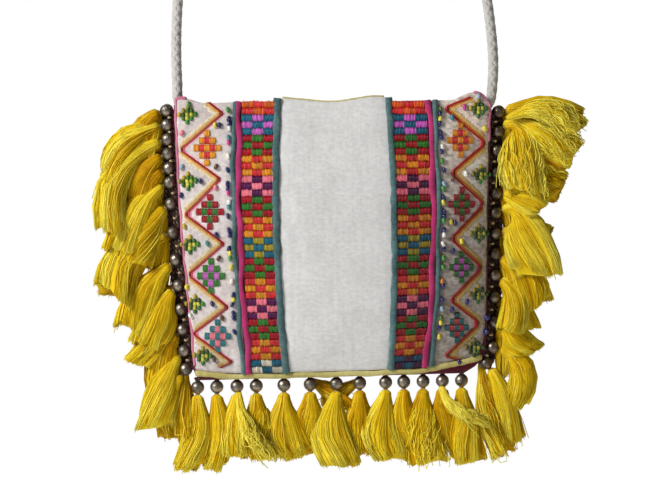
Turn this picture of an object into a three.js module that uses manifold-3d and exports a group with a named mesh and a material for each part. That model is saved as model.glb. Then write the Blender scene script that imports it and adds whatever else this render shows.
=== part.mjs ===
// A small square cloth purse that hangs on a braided cord. Its front is a patchwork of embroidered bands
// with cloth pipings on the seams, and metal beads with cotton tassels hang on both sides and the bottom.
// Millimetres, +Z up, +X to the right and +Y to the back. The origin is the underside of the strap's top,
// where the purse hangs.
import * as THREE from 'three';
import { mergeVertices } from 'three/addons/utils/BufferGeometryUtils.js';
import Module from 'manifold-3d';

const wasm = await Module();
wasm.setup();

// Driving dimensions
const RIM_Z = -233;
const POUCH_HEIGHT = 164.8;
const BOTTOM_TILT = 0.027;
const POUCH_WALL = 2;
const PANEL_SHARE = 0.978;
const PANEL_THICKNESS = 1.2;
const PANEL_FOOT_SHARE = 0.965;
const PIPING_HEIGHT = 1.8;
const HEM_WIDTH = 3.4;
const HEM_HEIGHT = 2.4;
const BINDING_HEIGHT = 1.2;
const BINDING_DEPTH = 1.8;
const CORD_DIAMETER = 7;
const CORD_SIDES = 8;
const CORD_STEPS = 32;
const BEAD_DIAMETER = 8;
const BEAD_SIDES = 10;
const BEAD_STACKS = 5;
const TASSEL_HEAD_DIAMETER = 7.5;
const TASSEL_SIDES = 8;
const SKIRT_DEPTH = 12;
const LOCK_GROOVE = 0.82;
const LOCK_TIP = 2.5;
const SEAT_GAP = 0.3;
const BAND_LIFT = 0.45;
const BAND_DOWNS = [0, 0.12, 0.26, 0.42, 0.58, 0.72, 0.82, 0.89, 0.94, 0.975, 1];

// Sections of the pouch from the rim down: its reach to each side, its depth to the front and the back,
// how square the section is, and the width of the side seams.
const POUCH_SECTIONS = [
  { share: 0.0, left: 98.2, right: 92.2, front: 8.5, back: 8.5, square: 4.0, seam: 10 },
  { share: 0.06, left: 97.9, right: 92.0, front: 10.2, back: 9.2, square: 3.6, seam: 7 },
  { share: 0.2, left: 97.0, right: 91.2, front: 13.0, back: 10.4, square: 3.0, seam: 4 },
  { share: 0.45, left: 94.4, right: 90.2, front: 15.5, back: 11.6, square: 2.8, seam: 4 },
  { share: 0.7, left: 90.4, right: 89.8, front: 14.6, back: 10.8, square: 2.8, seam: 4 },
  { share: 0.86, left: 88.0, right: 89.4, front: 11.0, back: 8.2, square: 2.8, seam: 5 },
  { share: 0.93, left: 87.2, right: 88.0, front: 7.6, back: 5.8, square: 2.8, seam: 7 },
  { share: 0.97, left: 86.2, right: 84.0, front: 4.8, back: 4.0, square: 2.8, seam: 9 },
  { share: 1.0, left: 83.0, right: 76.0, front: 2.2, back: 2.2, square: 2.8, seam: 12 },
];
const POUCH_ROW_SHARES = [0, 0.06, 0.16, 0.28, 0.42, 0.56, 0.7, 0.8, 0.88, 0.94, 0.975, 1];
const CAVITY_ROW_SHARES = [0, 0.08, 0.22, 0.46, 0.7, 0.84, 0.92, 0.95];
const CAVITY_STATIONS = 10;
const CAVITY_OVERSHOOT = 5;

// Lines that run down the front, by their X at the rim, halfway down and at the bottom.
const LINES = {
  outer_piping_left: { top: -61.9, middle: -61.3, bottom: -55.8 },
  band_seam_left: { top: -60.1, middle: -59.4, bottom: -53.9 },
  rose_piping_left: { top: -58.2, middle: -57.3, bottom: -51.7 },
  inner_piping_left: { top: -35.8, middle: -36.0, bottom: -30.3 },
  inner_piping_right: { top: 30.5, middle: 34.1, bottom: 31.5 },
  rose_piping_right: { top: 53.7, middle: 56.6, bottom: 51.5 },
  band_seam_right: { top: 55.7, middle: 58.5, bottom: 53.7 },
  outer_piping_right: { top: 57.6, middle: 60.4, bottom: 56.0 },
};

// Cloth bands of the front, from line to line, with the height of their top edge above the rim.
const BANDS = [
  { name: 'zigzag_band_left', from: 'left_edge', to: 'band_seam_left', rise: [3, -0.3, -0.6], spans: 4 },
  { name: 'check_band_left', from: 'band_seam_left', to: 'inner_piping_left', rise: [-0.3, 0, 0], spans: 2 },
  { name: 'centre_panel', from: 'inner_piping_left', to: 'inner_piping_right', rise: [2.2, 0, 2.8], spans: 4 },
  { name: 'check_band_right', from: 'inner_piping_right', to: 'band_seam_right', rise: [0.4, 0.8, 1], spans: 2 },
  { name: 'zigzag_band_right', from: 'band_seam_right', to: 'right_edge', rise: [1.2, 3.2, 5], spans: 4 },
];
const PIPINGS = [
  { name: 'outer_piping_left', width: 3.0, rise: -0.4, cloth: 'teal' },
  { name: 'rose_piping_left', width: 3.6, rise: 0, cloth: 'rose' },
  { name: 'inner_piping_left', width: 4.8, rise: 2.2, cloth: 'teal' },
  { name: 'inner_piping_right', width: 4.0, rise: 2.6, cloth: 'teal' },
  { name: 'rose_piping_right', width: 3.8, rise: 1, cloth: 'rose' },
  { name: 'outer_piping_right', width: 3.0, rise: 1.2, cloth: 'teal' },
];

// Height of the hem's middle above the bottom of the pouch, from left to right.
const HEM_LINE = [
  { x: -86, up: 5.2 },
  { x: -70, up: 3.0 },
  { x: -50, up: 2.4 },
  { x: 0, up: 2.4 },
  { x: 32, up: 2.6 },
  { x: 54, up: 3.6 },
  { x: 68, up: 6.0 },
  { x: 87, up: 10.2 },
];
const HEM_STATIONS = 24;

// Route of the strap's middle line in the plane Y = 0.
const CORD_ROUTE = [
  [-95.2, RIM_Z + SEAT_GAP], [-96.0, -221], [-96.5, -208], [-96.5, -194], [-96.0, -180], [-94.9, -165],
  [-93.0, -148], [-90.6, -130], [-87.1, -111], [-82.3, -92], [-76.4, -74], [-69.4, -57], [-61.1, -41],
  [-51.8, -27], [-41.3, -15], [-30.4, -6], [-19.2, 0], [-2.0, 3.5], [14.9, 0], [25.4, -6], [35.6, -15],
  [45.4, -27], [54.1, -41], [61.9, -57], [68.5, -74], [74.1, -92], [78.8, -111], [82.5, -130], [85.4, -148],
  [88.5, -166], [91.0, -183], [92.7, -199], [93.3, -211], [92.8, -222], [91.2, RIM_Z + SEAT_GAP],
];

// Tassels of the sides: how far below the rim the bead sits, where the tip lies from the bead (outwards,
// downwards and to the front), how wide the skirt ends, and how steeply it leaves the bead.
const LEFT_DROPS = [
  { down: 5, out: 13, fall: 40, front: -8, spread: 20, dip: 20 },
  { down: 13.5, out: 33, fall: 36, front: 2, spread: 20, dip: 8 },
  { down: 22, out: 37, fall: 57, front: 7, spread: 18, dip: 20 },
  { down: 30.5, out: 16, fall: 44, front: -6, spread: 22, dip: 25 },
  { down: 39, out: 13, fall: 40, front: -8, spread: 22, dip: 30 },
  { down: 47.5, out: 29, fall: 44, front: 3, spread: 22, dip: 25 },
  { down: 60, out: 23, fall: 37, front: 4, spread: 23, dip: 40 },
  { down: 77, out: 37, fall: 39, front: 6, spread: 26, dip: 20 },
  { down: 93, out: 27, fall: 43, front: 2, spread: 22, dip: 40 },
  { down: 108.5, out: 16, fall: 37, front: 4, spread: 22, dip: 45 },
  { down: 122.5, out: 27, fall: 34, front: 1, spread: 16, dip: 35 },
  { down: 134.5, out: 11, fall: 38, front: -5, spread: 22, dip: 40 },
  { down: 147, out: 17, fall: 48, front: 5, spread: 21, dip: 45 },
  { down: 158, out: 10, fall: 42, front: -5, spread: 14, dip: 52 },
];
const RIGHT_DROPS = [
  { down: 6, out: 50, fall: 10, front: -2, spread: 23, dip: -8 },
  { down: 18, out: 15, fall: 39, front: 9, spread: 26, dip: -35 },
  { down: 29.5, out: 46, fall: 6, front: 1, spread: 25, dip: -25 },
  { down: 43, out: 40, fall: 11, front: -3, spread: 22, dip: 0 },
  { down: 55.5, out: 24, fall: 14, front: 3, spread: 22, dip: 10 },
  { down: 67.5, out: 22, fall: 38, front: 9, spread: 30, dip: -20 },
  { down: 80, out: 33, fall: 4, front: -3, spread: 18, dip: 0 },
  { down: 92.5, out: 29, fall: 31, front: 0, spread: 24, dip: 30 },
  { down: 105.5, out: 10, fall: 35, front: 6, spread: 16, dip: 35 },
  { down: 119, out: 16, fall: 21, front: -1, spread: 23, dip: 14 },
  { down: 134, out: 21, fall: 20, front: 1, spread: 20, dip: 25 },
  { down: 149.5, out: 13, fall: 37, front: 2, spread: 17, dip: 12 },
  { down: 159, out: 13, fall: 50, front: 1, spread: 17, dip: 55 },
];

// Tassels of the bottom: X of the bead, where the tip lies from the bead, and how wide the skirt ends.
const BOTTOM_DROPS = [
  { x: -84, out: -4, fall: 50, front: 1, spread: 19 },
  { x: -72.5, out: -1, fall: 50, front: -1, spread: 18 },
  { x: -60.4, out: -2, fall: 43, front: 2, spread: 19 },
  { x: -48.8, out: 5, fall: 44, front: -1, spread: 20 },
  { x: -32.2, out: 7, fall: 45, front: 1, spread: 24 },
  { x: -16.4, out: 0, fall: 38, front: -4, spread: 20 },
  { x: -0.7, out: 1, fall: 51, front: 4, spread: 26 },
  { x: 13.3, out: 4, fall: 43, front: -3, spread: 20 },
  { x: 28.9, out: 2, fall: 46, front: 4, spread: 24 },
  { x: 39.8, out: 4, fall: 43, front: -3, spread: 18 },
  { x: 51.4, out: 4, fall: 50, front: 4, spread: 24 },
  { x: 63, out: 4, fall: 43, front: -4, spread: 18 },
  { x: 74.5, out: 1, fall: 50, front: 1, spread: 19 },
];

// Form of a tassel along its length: its half width and half depth, as a mix of head and skirt.
const TASSEL_FORM = [
  { along: 0.0, head: 0.6, skirt: 0 },
  { along: 0.13, head: 1.0, skirt: 0.04 },
  { along: 0.38, head: 0.4, skirt: 0.62 },
  { along: 0.7, head: 0.0, skirt: 1.0 },
  { along: 1.0, head: 0.0, skirt: 0.95 },
];
const TASSEL_FIRST_LOCK = 0.3;
const TASSEL_BEND = 0.45;

// Colours and finishes
const FINISHES = {
  red: { color: 0x6e1028, roughness: 0.85, metalness: 0 },
  white: { color: 0xdcdad4, roughness: 0.9, metalness: 0 },
  stitched: { color: 0xb4505a, roughness: 0.7, metalness: 0 },
  zigzag: { color: 0xe0d6c8, roughness: 0.8, metalness: 0 },
  teal: { color: 0x587f80, roughness: 0.85, metalness: 0 },
  rose: { color: 0xc03070, roughness: 0.85, metalness: 0 },
  yellow: { color: 0xd0c468, roughness: 0.85, metalness: 0 },
  cord: { color: 0xeeece6, roughness: 0.8, metalness: 0 },
  bead: { color: 0x6e6455, roughness: 0.4, metalness: 1 },
  tassel: { color: 0xf0cc1e, roughness: 0.75, metalness: 0 },
};

const purse = new THREE.Group();

function addPiece(name, geometry, finish) {
  const mesh = new THREE.Mesh(geometry, new THREE.MeshStandardMaterial(FINISHES[finish]));
  mesh.name = name;
  purse.add(mesh);
  return mesh;
}

// Smooth curve through one column of a table
function columnCurve(rows, at, column) {
  const places = rows.map((row) => row[at]);
  const values = rows.map((row) => row[column]);
  const curve = new THREE.CubicInterpolant(places, values, 1);
  return (place) => curve.evaluate(THREE.MathUtils.clamp(place, places[0], places.at(-1)))[0];
}

// Curve through three values at 0, a half and 1
function threePointCurve(first, middle, last, share) {
  const early = first * (1 - share) * (1 - 2 * share);
  const centre = middle * 4 * share * (1 - share);
  const late = last * share * (2 * share - 1);
  return early + centre + late;
}

const pouch = {};
for (const column of ['left', 'right', 'front', 'back', 'square', 'seam']) {
  pouch[column] = columnCurve(POUCH_SECTIONS, 'share', column);
}
const hemRise = columnCurve(HEM_LINE, 'x', 'up');

function heightAt(x, share) {
  return RIM_Z - share * (POUCH_HEIGHT - BOTTOM_TILT * x);
}

function shareAt(x, z) {
  return THREE.MathUtils.clamp((RIM_Z - z) / (POUCH_HEIGHT - BOTTOM_TILT * x), 0, 1);
}

// Depth of a squared-off oval section at X
function ovalDepth(x, left, right, depth, square) {
  const reach = Math.min(Math.abs(x) / (x < 0 ? left : right), 1);
  return depth * Math.pow(1 - Math.pow(reach, square), 1 / square);
}

function skinDepth(x, z, side) {
  const share = shareAt(x, z);
  return ovalDepth(x, pouch.left(share), pouch.right(share), pouch[side](share), pouch.square(share));
}

// Point and outward normal on the front of the pouch, lifted off its cloth
function frontPlace(x, z, lift) {
  const reach = 0.4;
  const slopeX = (skinDepth(x + reach, z, 'front') - skinDepth(x - reach, z, 'front')) / (2 * reach);
  const slopeZ = (skinDepth(x, z + reach, 'front') - skinDepth(x, z - reach, 'front')) / (2 * reach);
  const normal = new THREE.Vector3(-slopeX, -1, -slopeZ).normalize();
  const point = new THREE.Vector3(x, -skinDepth(x, z, 'front'), z).addScaledVector(normal, lift);
  return { point, normal };
}

function lineX(name, share) {
  if (name === 'left_edge') return -PANEL_SHARE * pouch.left(share);
  if (name === 'right_edge') return PANEL_SHARE * pouch.right(share);
  const line = LINES[name];
  return threePointCurve(line.top, line.middle, line.bottom, share);
}

function hemHeight(x) {
  return heightAt(x, 1) + hemRise(x);
}

// Height on the front for a share of the way from a top edge down to the hem
function bandHeight(x, rise, down) {
  return THREE.MathUtils.lerp(RIM_Z + rise, hemHeight(x) + HEM_WIDTH / 2 + SEAT_GAP, down);
}

// Closed solid through a row of rings with the same number of points
function loftSolid(rings) {
  const count = rings[0].length;
  const positions = rings.flat().flatMap((point) => point.toArray());
  const triangles = [];
  for (let row = 0; row < rings.length - 1; row += 1) {
    for (let i = 0; i < count; i += 1) {
      const here = row * count + i;
      const next = row * count + (i + 1) % count;
      triangles.push(here, next, here + count, next, next + count, here + count);
    }
  }
  const lastRow = (rings.length - 1) * count;
  for (let low = 0, high = count - 1; high - low >= 2; low += 1, high -= 1) {
    triangles.push(low, high, low + 1);
    triangles.push(lastRow + low, lastRow + low + 1, lastRow + high);
    if (high - low >= 3) {
      triangles.push(low + 1, high, high - 1);
      triangles.push(lastRow + low + 1, lastRow + high - 1, lastRow + high);
    }
  }
  const geometry = new THREE.BufferGeometry();
  geometry.setAttribute('position', new THREE.Float32BufferAttribute(positions, 3));
  geometry.setIndex(signedVolume(positions, triangles) < 0 ? triangles.toReversed() : triangles);
  return geometry;
}

function signedVolume(positions, triangles) {
  const corner = (k) => new THREE.Vector3().fromArray(positions, 3 * triangles[k]);
  let volume = 0;
  for (let k = 0; k < triangles.length; k += 3) {
    volume += corner(k).dot(corner(k + 1).cross(corner(k + 2))) / 6;
  }
  return volume;
}

function toSolid(geometry) {
  const bare = geometry.clone();
  bare.deleteAttribute('normal');
  bare.deleteAttribute('uv');
  const merged = mergeVertices(bare);
  const vertProperties = new Float32Array(merged.attributes.position.array);
  const triVerts = new Uint32Array(merged.index.array);
  return new wasm.Manifold(new wasm.Mesh({ numProp: 3, vertProperties, triVerts }));
}

function toGeometry(solid) {
  const mesh = solid.getMesh();
  const geometry = new THREE.BufferGeometry();
  geometry.setAttribute('position', new THREE.Float32BufferAttribute(mesh.vertProperties, 3));
  geometry.setIndex(Array.from(mesh.triVerts));
  return geometry;
}

// Lines down the front that carry the facets of the pouch and of the bands alike
function stationLines() {
  const lines = [(share) => -pouch.left(share)];
  for (const band of BANDS) {
    for (let i = 0; i < band.spans; i += 1) {
      lines.push((share) => THREE.MathUtils.lerp(lineX(band.from, share), lineX(band.to, share), i / band.spans));
    }
  }
  lines.push((share) => lineX('right_edge', share));
  lines.push((share) => pouch.right(share));
  return lines;
}

// Hollow cloth pouch, open at the rim
function buildPouch() {
  const lines = stationLines();
  const skinRings = POUCH_ROW_SHARES.map((share) => {
    const front = lines.map((line) => {
      const x = line(share);
      const z = heightAt(x, share);
      return new THREE.Vector3(x, -skinDepth(x, z, 'front'), z);
    });
    const back = lines.slice(1, -1).reverse().map((line) => {
      const x = line(share);
      const z = heightAt(x, share);
      return new THREE.Vector3(x, skinDepth(x, z, 'back'), z);
    });
    return [...front, ...back];
  });
  const cavityRings = CAVITY_ROW_SHARES.map((share) => cavityRing(share, 0));
  cavityRings.unshift(cavityRing(0, CAVITY_OVERSHOOT));
  const hollow = toSolid(loftSolid(skinRings)).subtract(toSolid(loftSolid(cavityRings)));
  addPiece('pouch', toGeometry(hollow), 'red');
}

function cavityRing(share, lift) {
  const left = pouch.left(share) - pouch.seam(share);
  const right = pouch.right(share) - pouch.seam(share);
  const square = pouch.square(share);
  const edge = (side, turn) => {
    const x = turn < 0 ? left * turn : right * turn;
    const depth = ovalDepth(x, left, right, pouch[side](share) - POUCH_WALL, square);
    return new THREE.Vector3(x, side === 'front' ? -depth : depth, heightAt(x, share) + lift);
  };
  const ring = [];
  for (let i = 0; i <= CAVITY_STATIONS; i += 1) {
    ring.push(edge('front', -Math.cos(Math.PI * i / CAVITY_STATIONS)));
  }
  for (let i = CAVITY_STATIONS - 1; i > 0; i -= 1) {
    ring.push(edge('back', -Math.cos(Math.PI * i / CAVITY_STATIONS)));
  }
  return ring;
}

// Thin cloth band on the front of the pouch
function buildBand({ name, from, to, rise, spans }, finish) {
  const rings = BAND_DOWNS.map((down) => {
    const share = down * PANEL_FOOT_SHARE;
    const start = lineX(from, share) + SEAT_GAP / 2;
    const end = lineX(to, share) - SEAT_GAP / 2;
    const inner = [];
    const outer = [];
    for (let i = 0; i <= spans; i += 1) {
      const x = THREE.MathUtils.lerp(start, end, i / spans);
      const z = bandHeight(x, threePointCurve(...rise, i / spans), down);
      inner.push(frontPlace(x, z, BAND_LIFT).point);
      outer.unshift(frontPlace(x, z, BAND_LIFT + PANEL_THICKNESS).point);
    }
    return [...inner, ...outer];
  });
  addPiece(name, loftSolid(rings), finish);
}

// Half-round section of a piping on its base point
function pipingRing(point, normal, across, width, height) {
  const outline = [[-0.5, 0], [-0.42, 0.6], [0, 1], [0.42, 0.6], [0.5, 0]];
  return outline.map(([side, lift]) => point.clone()
    .addScaledVector(across, side * width)
    .addScaledVector(normal, lift * height));
}

// Cloth piping that covers a seam between two bands
function buildPiping({ name, width, rise, cloth }) {
  const rings = BAND_DOWNS.map((down) => {
    const x = lineX(name, down * PANEL_FOOT_SHARE);
    const lift = BAND_LIFT + PANEL_THICKNESS + SEAT_GAP;
    const { point, normal } = frontPlace(x, bandHeight(x, rise, down), lift);
    const across = new THREE.Vector3(1, 0, 0).projectOnPlane(normal).normalize();
    return pipingRing(point, normal, across, width, PIPING_HEIGHT);
  });
  addPiece(name, loftSolid(rings), cloth);
}

// Piping along the foot of all bands
function buildHem() {
  const start = lineX('left_edge', PANEL_FOOT_SHARE);
  const end = lineX('right_edge', shareAt(HEM_LINE.at(-1).x, hemHeight(HEM_LINE.at(-1).x)));
  const places = [];
  for (let i = 0; i <= HEM_STATIONS; i += 1) {
    const x = THREE.MathUtils.lerp(start, end, i / HEM_STATIONS);
    places.push(frontPlace(x, hemHeight(x), SEAT_GAP));
  }
  const rings = places.map(({ point, normal }, i) => {
    const before = places[Math.max(i - 1, 0)].point;
    const after = places[Math.min(i + 1, HEM_STATIONS)].point;
    const across = after.clone().sub(before).cross(normal).normalize();
    return pipingRing(point, normal, across, HEM_WIDTH, HEM_HEIGHT);
  });
  addPiece('hem_piping', loftSolid(rings), 'yellow');
}

// Thin edge on top of the centre panel
function buildMouthBinding() {
  const panel = BANDS.find((band) => band.name === 'centre_panel');
  const leftPiping = PIPINGS.find((piping) => piping.name === panel.from);
  const rightPiping = PIPINGS.find((piping) => piping.name === panel.to);
  const start = lineX(panel.from, 0) + leftPiping.width / 2 + SEAT_GAP;
  const end = lineX(panel.to, 0) - rightPiping.width / 2 - SEAT_GAP;
  const steps = 2 * panel.spans;
  const rings = [];
  for (let i = 0; i <= steps; i += 1) {
    const x = THREE.MathUtils.lerp(start, end, i / steps);
    const along = (x - lineX(panel.from, 0)) / (lineX(panel.to, 0) - lineX(panel.from, 0));
    const foot = RIM_Z + threePointCurve(...panel.rise, along) + SEAT_GAP;
    const { point, normal } = frontPlace(x, foot, BAND_LIFT + PANEL_THICKNESS / 2);
    const up = new THREE.Vector3(0, 0, BINDING_HEIGHT);
    const frontFoot = point.clone().addScaledVector(normal, BINDING_DEPTH / 2);
    const backFoot = point.clone().addScaledVector(normal, -BINDING_DEPTH / 2);
    rings.push([frontFoot, frontFoot.clone().add(up), backFoot.clone().add(up), backFoot]);
  }
  addPiece('mouth_binding', loftSolid(rings), 'yellow');
}

// Braided cord from corner to corner
function buildStrap() {
  const points = CORD_ROUTE.map(([x, z]) => new THREE.Vector3(x, 0, z));
  const route = new THREE.CatmullRomCurve3(points);
  const corners = [];
  for (let i = 0; i < CORD_SIDES; i += 1) {
    const turn = 2 * Math.PI * i / CORD_SIDES;
    corners.push(new THREE.Vector2(Math.cos(turn), Math.sin(turn)).multiplyScalar(CORD_DIAMETER / 2));
  }
  const section = new THREE.Shape(corners);
  const tube = new THREE.ExtrudeGeometry(section, { steps: CORD_STEPS, extrudePath: route });
  addPiece('strap_cord', tube, 'cord');
}

// One tassel from its head under a bead to its tip, with grooves between its locks
function tasselSolid(head, tip, leave, spread) {
  const bend = head.clone().addScaledVector(leave, TASSEL_BEND * head.distanceTo(tip));
  const path = new THREE.QuadraticBezierCurve3(head, bend, tip);
  const depthAxis = new THREE.Vector3(0, 1, 0);
  const rings = TASSEL_FORM.map(({ along, head: headShare, skirt }) => {
    const centre = path.getPointAt(along);
    const course = path.getTangentAt(along);
    const across = new THREE.Vector3().crossVectors(depthAxis, course).normalize();
    const halfWidth = (headShare * TASSEL_HEAD_DIAMETER + skirt * spread) / 2;
    const halfDepth = (headShare * TASSEL_HEAD_DIAMETER + skirt * SKIRT_DEPTH) / 2;
    const ring = [];
    for (let i = 0; i < TASSEL_SIDES; i += 1) {
      const turn = 2 * Math.PI * i / TASSEL_SIDES;
      const isGroove = i % 2 === 1;
      const groove = along > TASSEL_FIRST_LOCK && isGroove ? LOCK_GROOVE : 1;
      const tipReach = along === 1 && !isGroove ? LOCK_TIP : 0;
      ring.push(centre.clone()
        .addScaledVector(across, Math.cos(turn) * halfWidth * groove)
        .addScaledVector(depthAxis, Math.sin(turn) * halfDepth * groove)
        .addScaledVector(course, tipReach));
    }
    return ring;
  });
  return toSolid(loftSolid(rings));
}

function addBead(name, centre) {
  const ball = new THREE.SphereGeometry(BEAD_DIAMETER / 2, BEAD_SIDES, BEAD_STACKS);
  ball.rotateX(Math.PI / 2);
  addPiece(name, ball, 'bead').position.copy(centre);
}

// A bead on the pouch's edge and the tassel that hangs on it
function beadAndTassel(name, bead, side, { out, fall, front, spread }, dip) {
  addBead(name, bead);
  const slope = THREE.MathUtils.degToRad(dip);
  const leave = new THREE.Vector3(side * Math.cos(slope), 0, -Math.sin(slope));
  const head = bead.clone().addScaledVector(leave, BEAD_DIAMETER / 2 + SEAT_GAP);
  const tip = bead.clone().add(new THREE.Vector3(side * out, -front, -fall));
  return tasselSolid(head, tip, leave, spread);
}

function sideBead(side, down) {
  const share = down / POUCH_HEIGHT;
  const reach = side < 0 ? pouch.left(share) : pouch.right(share);
  const x = side * (reach + SEAT_GAP + BEAD_DIAMETER / 2);
  return new THREE.Vector3(x, 0, heightAt(x, share));
}

function pieceNumber(index) {
  return String(index + 1).padStart(2, '0');
}

function joinAll(solids) {
  return solids.reduce((joined, solid) => joined.add(solid));
}

function buildSideFringe(label, side, drops) {
  const tassels = drops.map((drop, i) => {
    const bead = sideBead(side, drop.down);
    return beadAndTassel(`bead_${label}_${pieceNumber(i)}`, bead, side, drop, drop.dip);
  });
  addPiece(`fringe_${label}`, toGeometry(joinAll(tassels)), 'tassel');
}

function buildBottomFringe() {
  const straightDown = 90;
  const tassels = BOTTOM_DROPS.map((drop, i) => {
    const z = heightAt(drop.x, 1) - SEAT_GAP - BEAD_DIAMETER / 2;
    const bead = new THREE.Vector3(drop.x, 0, z);
    return beadAndTassel(`bead_bottom_${pieceNumber(i)}`, bead, 1, drop, straightDown);
  });
  addPiece('fringe_bottom', toGeometry(joinAll(tassels)), 'tassel');
}

buildPouch();
const bandFinishes = { centre_panel: 'white', check_band_left: 'stitched', check_band_right: 'stitched' };
for (const band of BANDS) {
  buildBand(band, bandFinishes[band.name] ?? 'zigzag');
}
for (const piping of PIPINGS) {
  buildPiping(piping);
}
buildHem();
buildMouthBinding();
buildStrap();
buildSideFringe('left', -1, LEFT_DROPS);
buildSideFringe('right', 1, RIGHT_DROPS);
buildBottomFringe();

export default purse;
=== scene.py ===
import math

import bmesh
import bpy
import numpy as np
from mathutils import Matrix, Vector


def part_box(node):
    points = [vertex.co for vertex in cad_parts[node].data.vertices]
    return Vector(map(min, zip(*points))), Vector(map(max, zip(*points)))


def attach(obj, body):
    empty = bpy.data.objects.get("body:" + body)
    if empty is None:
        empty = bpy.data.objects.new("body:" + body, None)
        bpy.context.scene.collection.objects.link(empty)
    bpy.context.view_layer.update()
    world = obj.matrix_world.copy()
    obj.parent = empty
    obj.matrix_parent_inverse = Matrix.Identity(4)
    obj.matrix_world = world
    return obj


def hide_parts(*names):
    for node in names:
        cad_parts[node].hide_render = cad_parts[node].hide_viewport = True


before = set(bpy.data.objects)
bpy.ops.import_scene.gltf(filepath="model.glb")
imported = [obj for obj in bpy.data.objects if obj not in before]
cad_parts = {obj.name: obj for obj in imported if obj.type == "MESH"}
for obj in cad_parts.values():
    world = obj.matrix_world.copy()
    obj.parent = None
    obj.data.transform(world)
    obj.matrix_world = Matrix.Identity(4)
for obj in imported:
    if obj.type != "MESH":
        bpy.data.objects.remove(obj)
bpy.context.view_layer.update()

MM = 0.001
BACK = np.array((0.0, 1.0, 0.0))
rng = np.random.default_rng(7)

# Driving sizes of the pouch and of what is sewn on it
RIM_Z = -233.0
POUCH_HEIGHT = 164.8
BOTTOM_TILT = 0.027
POUCH_WALL = 2.0
CAVITY_FLOOR_SHARE = 0.95
PANEL_SHARE = 0.978
PANEL_THICKNESS = 1.2
PANEL_FOOT_SHARE = 0.965
BAND_LIFT = 0.45
CLOTH_TOP = BAND_LIFT + PANEL_THICKNESS
PIPING_HEIGHT = 2.3
HEM_WIDTH = 3.4
HEM_HEIGHT = 2.4
SEAT_GAP = 0.3
QUILT_DEPTH = 1.3
QUILT_REACH = 4.0
BEAD_DIAMETER = 8.0
TASSEL_HEAD_DIAMETER = 7.5
SKIRT_DEPTH = 12.0
TASSEL_BEND = 0.45

# Sections of the pouch from the rim down: share of the height, reach to the left and the right, depth to
# the front and the back, how square the section is, and the width of the side seams
POUCH_SECTIONS = np.array((
    (0.0, 98.2, 92.2, 8.5, 8.5, 4.0, 10),
    (0.06, 97.9, 92.0, 10.2, 9.2, 3.6, 7),
    (0.2, 97.0, 91.2, 13.0, 10.4, 3.0, 4),
    (0.45, 94.4, 90.2, 15.5, 11.6, 2.8, 4),
    (0.7, 90.4, 89.8, 14.6, 10.8, 2.8, 4),
    (0.86, 88.0, 89.4, 11.0, 8.2, 2.8, 5),
    (0.93, 87.2, 88.0, 7.6, 5.8, 2.8, 7),
    (0.97, 86.2, 84.0, 4.8, 4.0, 2.8, 9),
    (1.0, 83.0, 76.0, 2.2, 2.2, 2.8, 12),
))

# Lines down the front by their X at the rim, halfway down and at the bottom
LINES = {
    "outer_piping_left": (-61.9, -61.3, -55.8),
    "band_seam_left": (-60.1, -59.4, -53.9),
    "rose_piping_left": (-58.2, -57.3, -51.7),
    "inner_piping_left": (-35.8, -36.0, -30.3),
    "inner_piping_right": (30.5, 34.1, 31.5),
    "rose_piping_right": (53.7, 56.6, 51.5),
    "band_seam_right": (55.7, 58.5, 53.7),
    "outer_piping_right": (57.6, 60.4, 56.0),
}
SEAM_LINES = ("band_seam_left", "inner_piping_left", "inner_piping_right", "band_seam_right")

# Bands of the front, from line to line, with their top edge as (share across, height above the rim)
BANDS = {
    "zigzag_band_left": ("left_edge", "band_seam_left",
                         ((0, 1.5), (0.06, 2.3), (0.25, 1.2), (0.43, -0.9), (0.6, -0.8), (1, -0.5))),
    "check_band_left": ("band_seam_left", "inner_piping_left", ((0, -0.4), (0.5, -0.5), (1, 0))),
    "centre_panel": ("inner_piping_left", "inner_piping_right",
                     ((0, 2.4), (0.25, 0.9), (0.5, -0.3), (0.7, 1.5), (0.86, 3.0), (1, 2.6))),
    "check_band_right": ("inner_piping_right", "band_seam_right", ((0, 0.3), (0.5, 0.6), (1, 0.9))),
    "zigzag_band_right": ("band_seam_right", "right_edge",
                          ((0, 0.8), (0.2, 1.0), (0.4, 1.4), (0.55, 3.8), (0.73, 5.7), (0.88, 4.2),
                           (1, -1))),
}

# Rolls of cloth on the seams: width, height above the rim where each starts, how far it wanders, its cloth
PIPINGS = {
    "outer_piping_left": (3.0, -0.4, 0.5, "teal"),
    "rose_piping_left": (3.8, 0.0, 0.7, "rose"),
    "inner_piping_left": (4.6, 2.2, 0.55, "teal"),
    "inner_piping_right": (4.0, 2.6, 0.5, "teal"),
    "rose_piping_right": (3.8, 1.0, 0.5, "rose"),
    "outer_piping_right": (3.0, 1.2, 0.5, "teal"),
}

# Zigzag lines by their turning points (x, z) from the top, and how round the outer turns are
ZIGZAGS = {
    "left": ((
        (-76.5, -233.6), (-68.0, -240.2), (-93.0, -261.8), (-69.4, -279.2), (-89.8, -300.5), (-67.3, -317.6),
        (-88.0, -336.2), (-65.1, -355.4), (-85.5, -371.6), (-62.6, -388.2), (-70, -391.4)), 2.5),
    "right": ((
        (79.0, -230.4), (63.4, -237.2), (87.6, -257.6), (67.2, -275.6), (86.6, -294.2), (67.2, -314.6),
        (85.2, -332.0), (66.8, -351.2), (84.0, -365.0), (63.8, -384.6), (72, -387.0)), 4.5),
}

# Height of the hem's middle above the bottom of the pouch
HEM_LINE = np.array(((-86, 5.2), (-70, 3), (-50, 2.4), (0, 2.4), (32, 2.6), (54, 3.6), (68, 6), (87, 10.2)))

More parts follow.
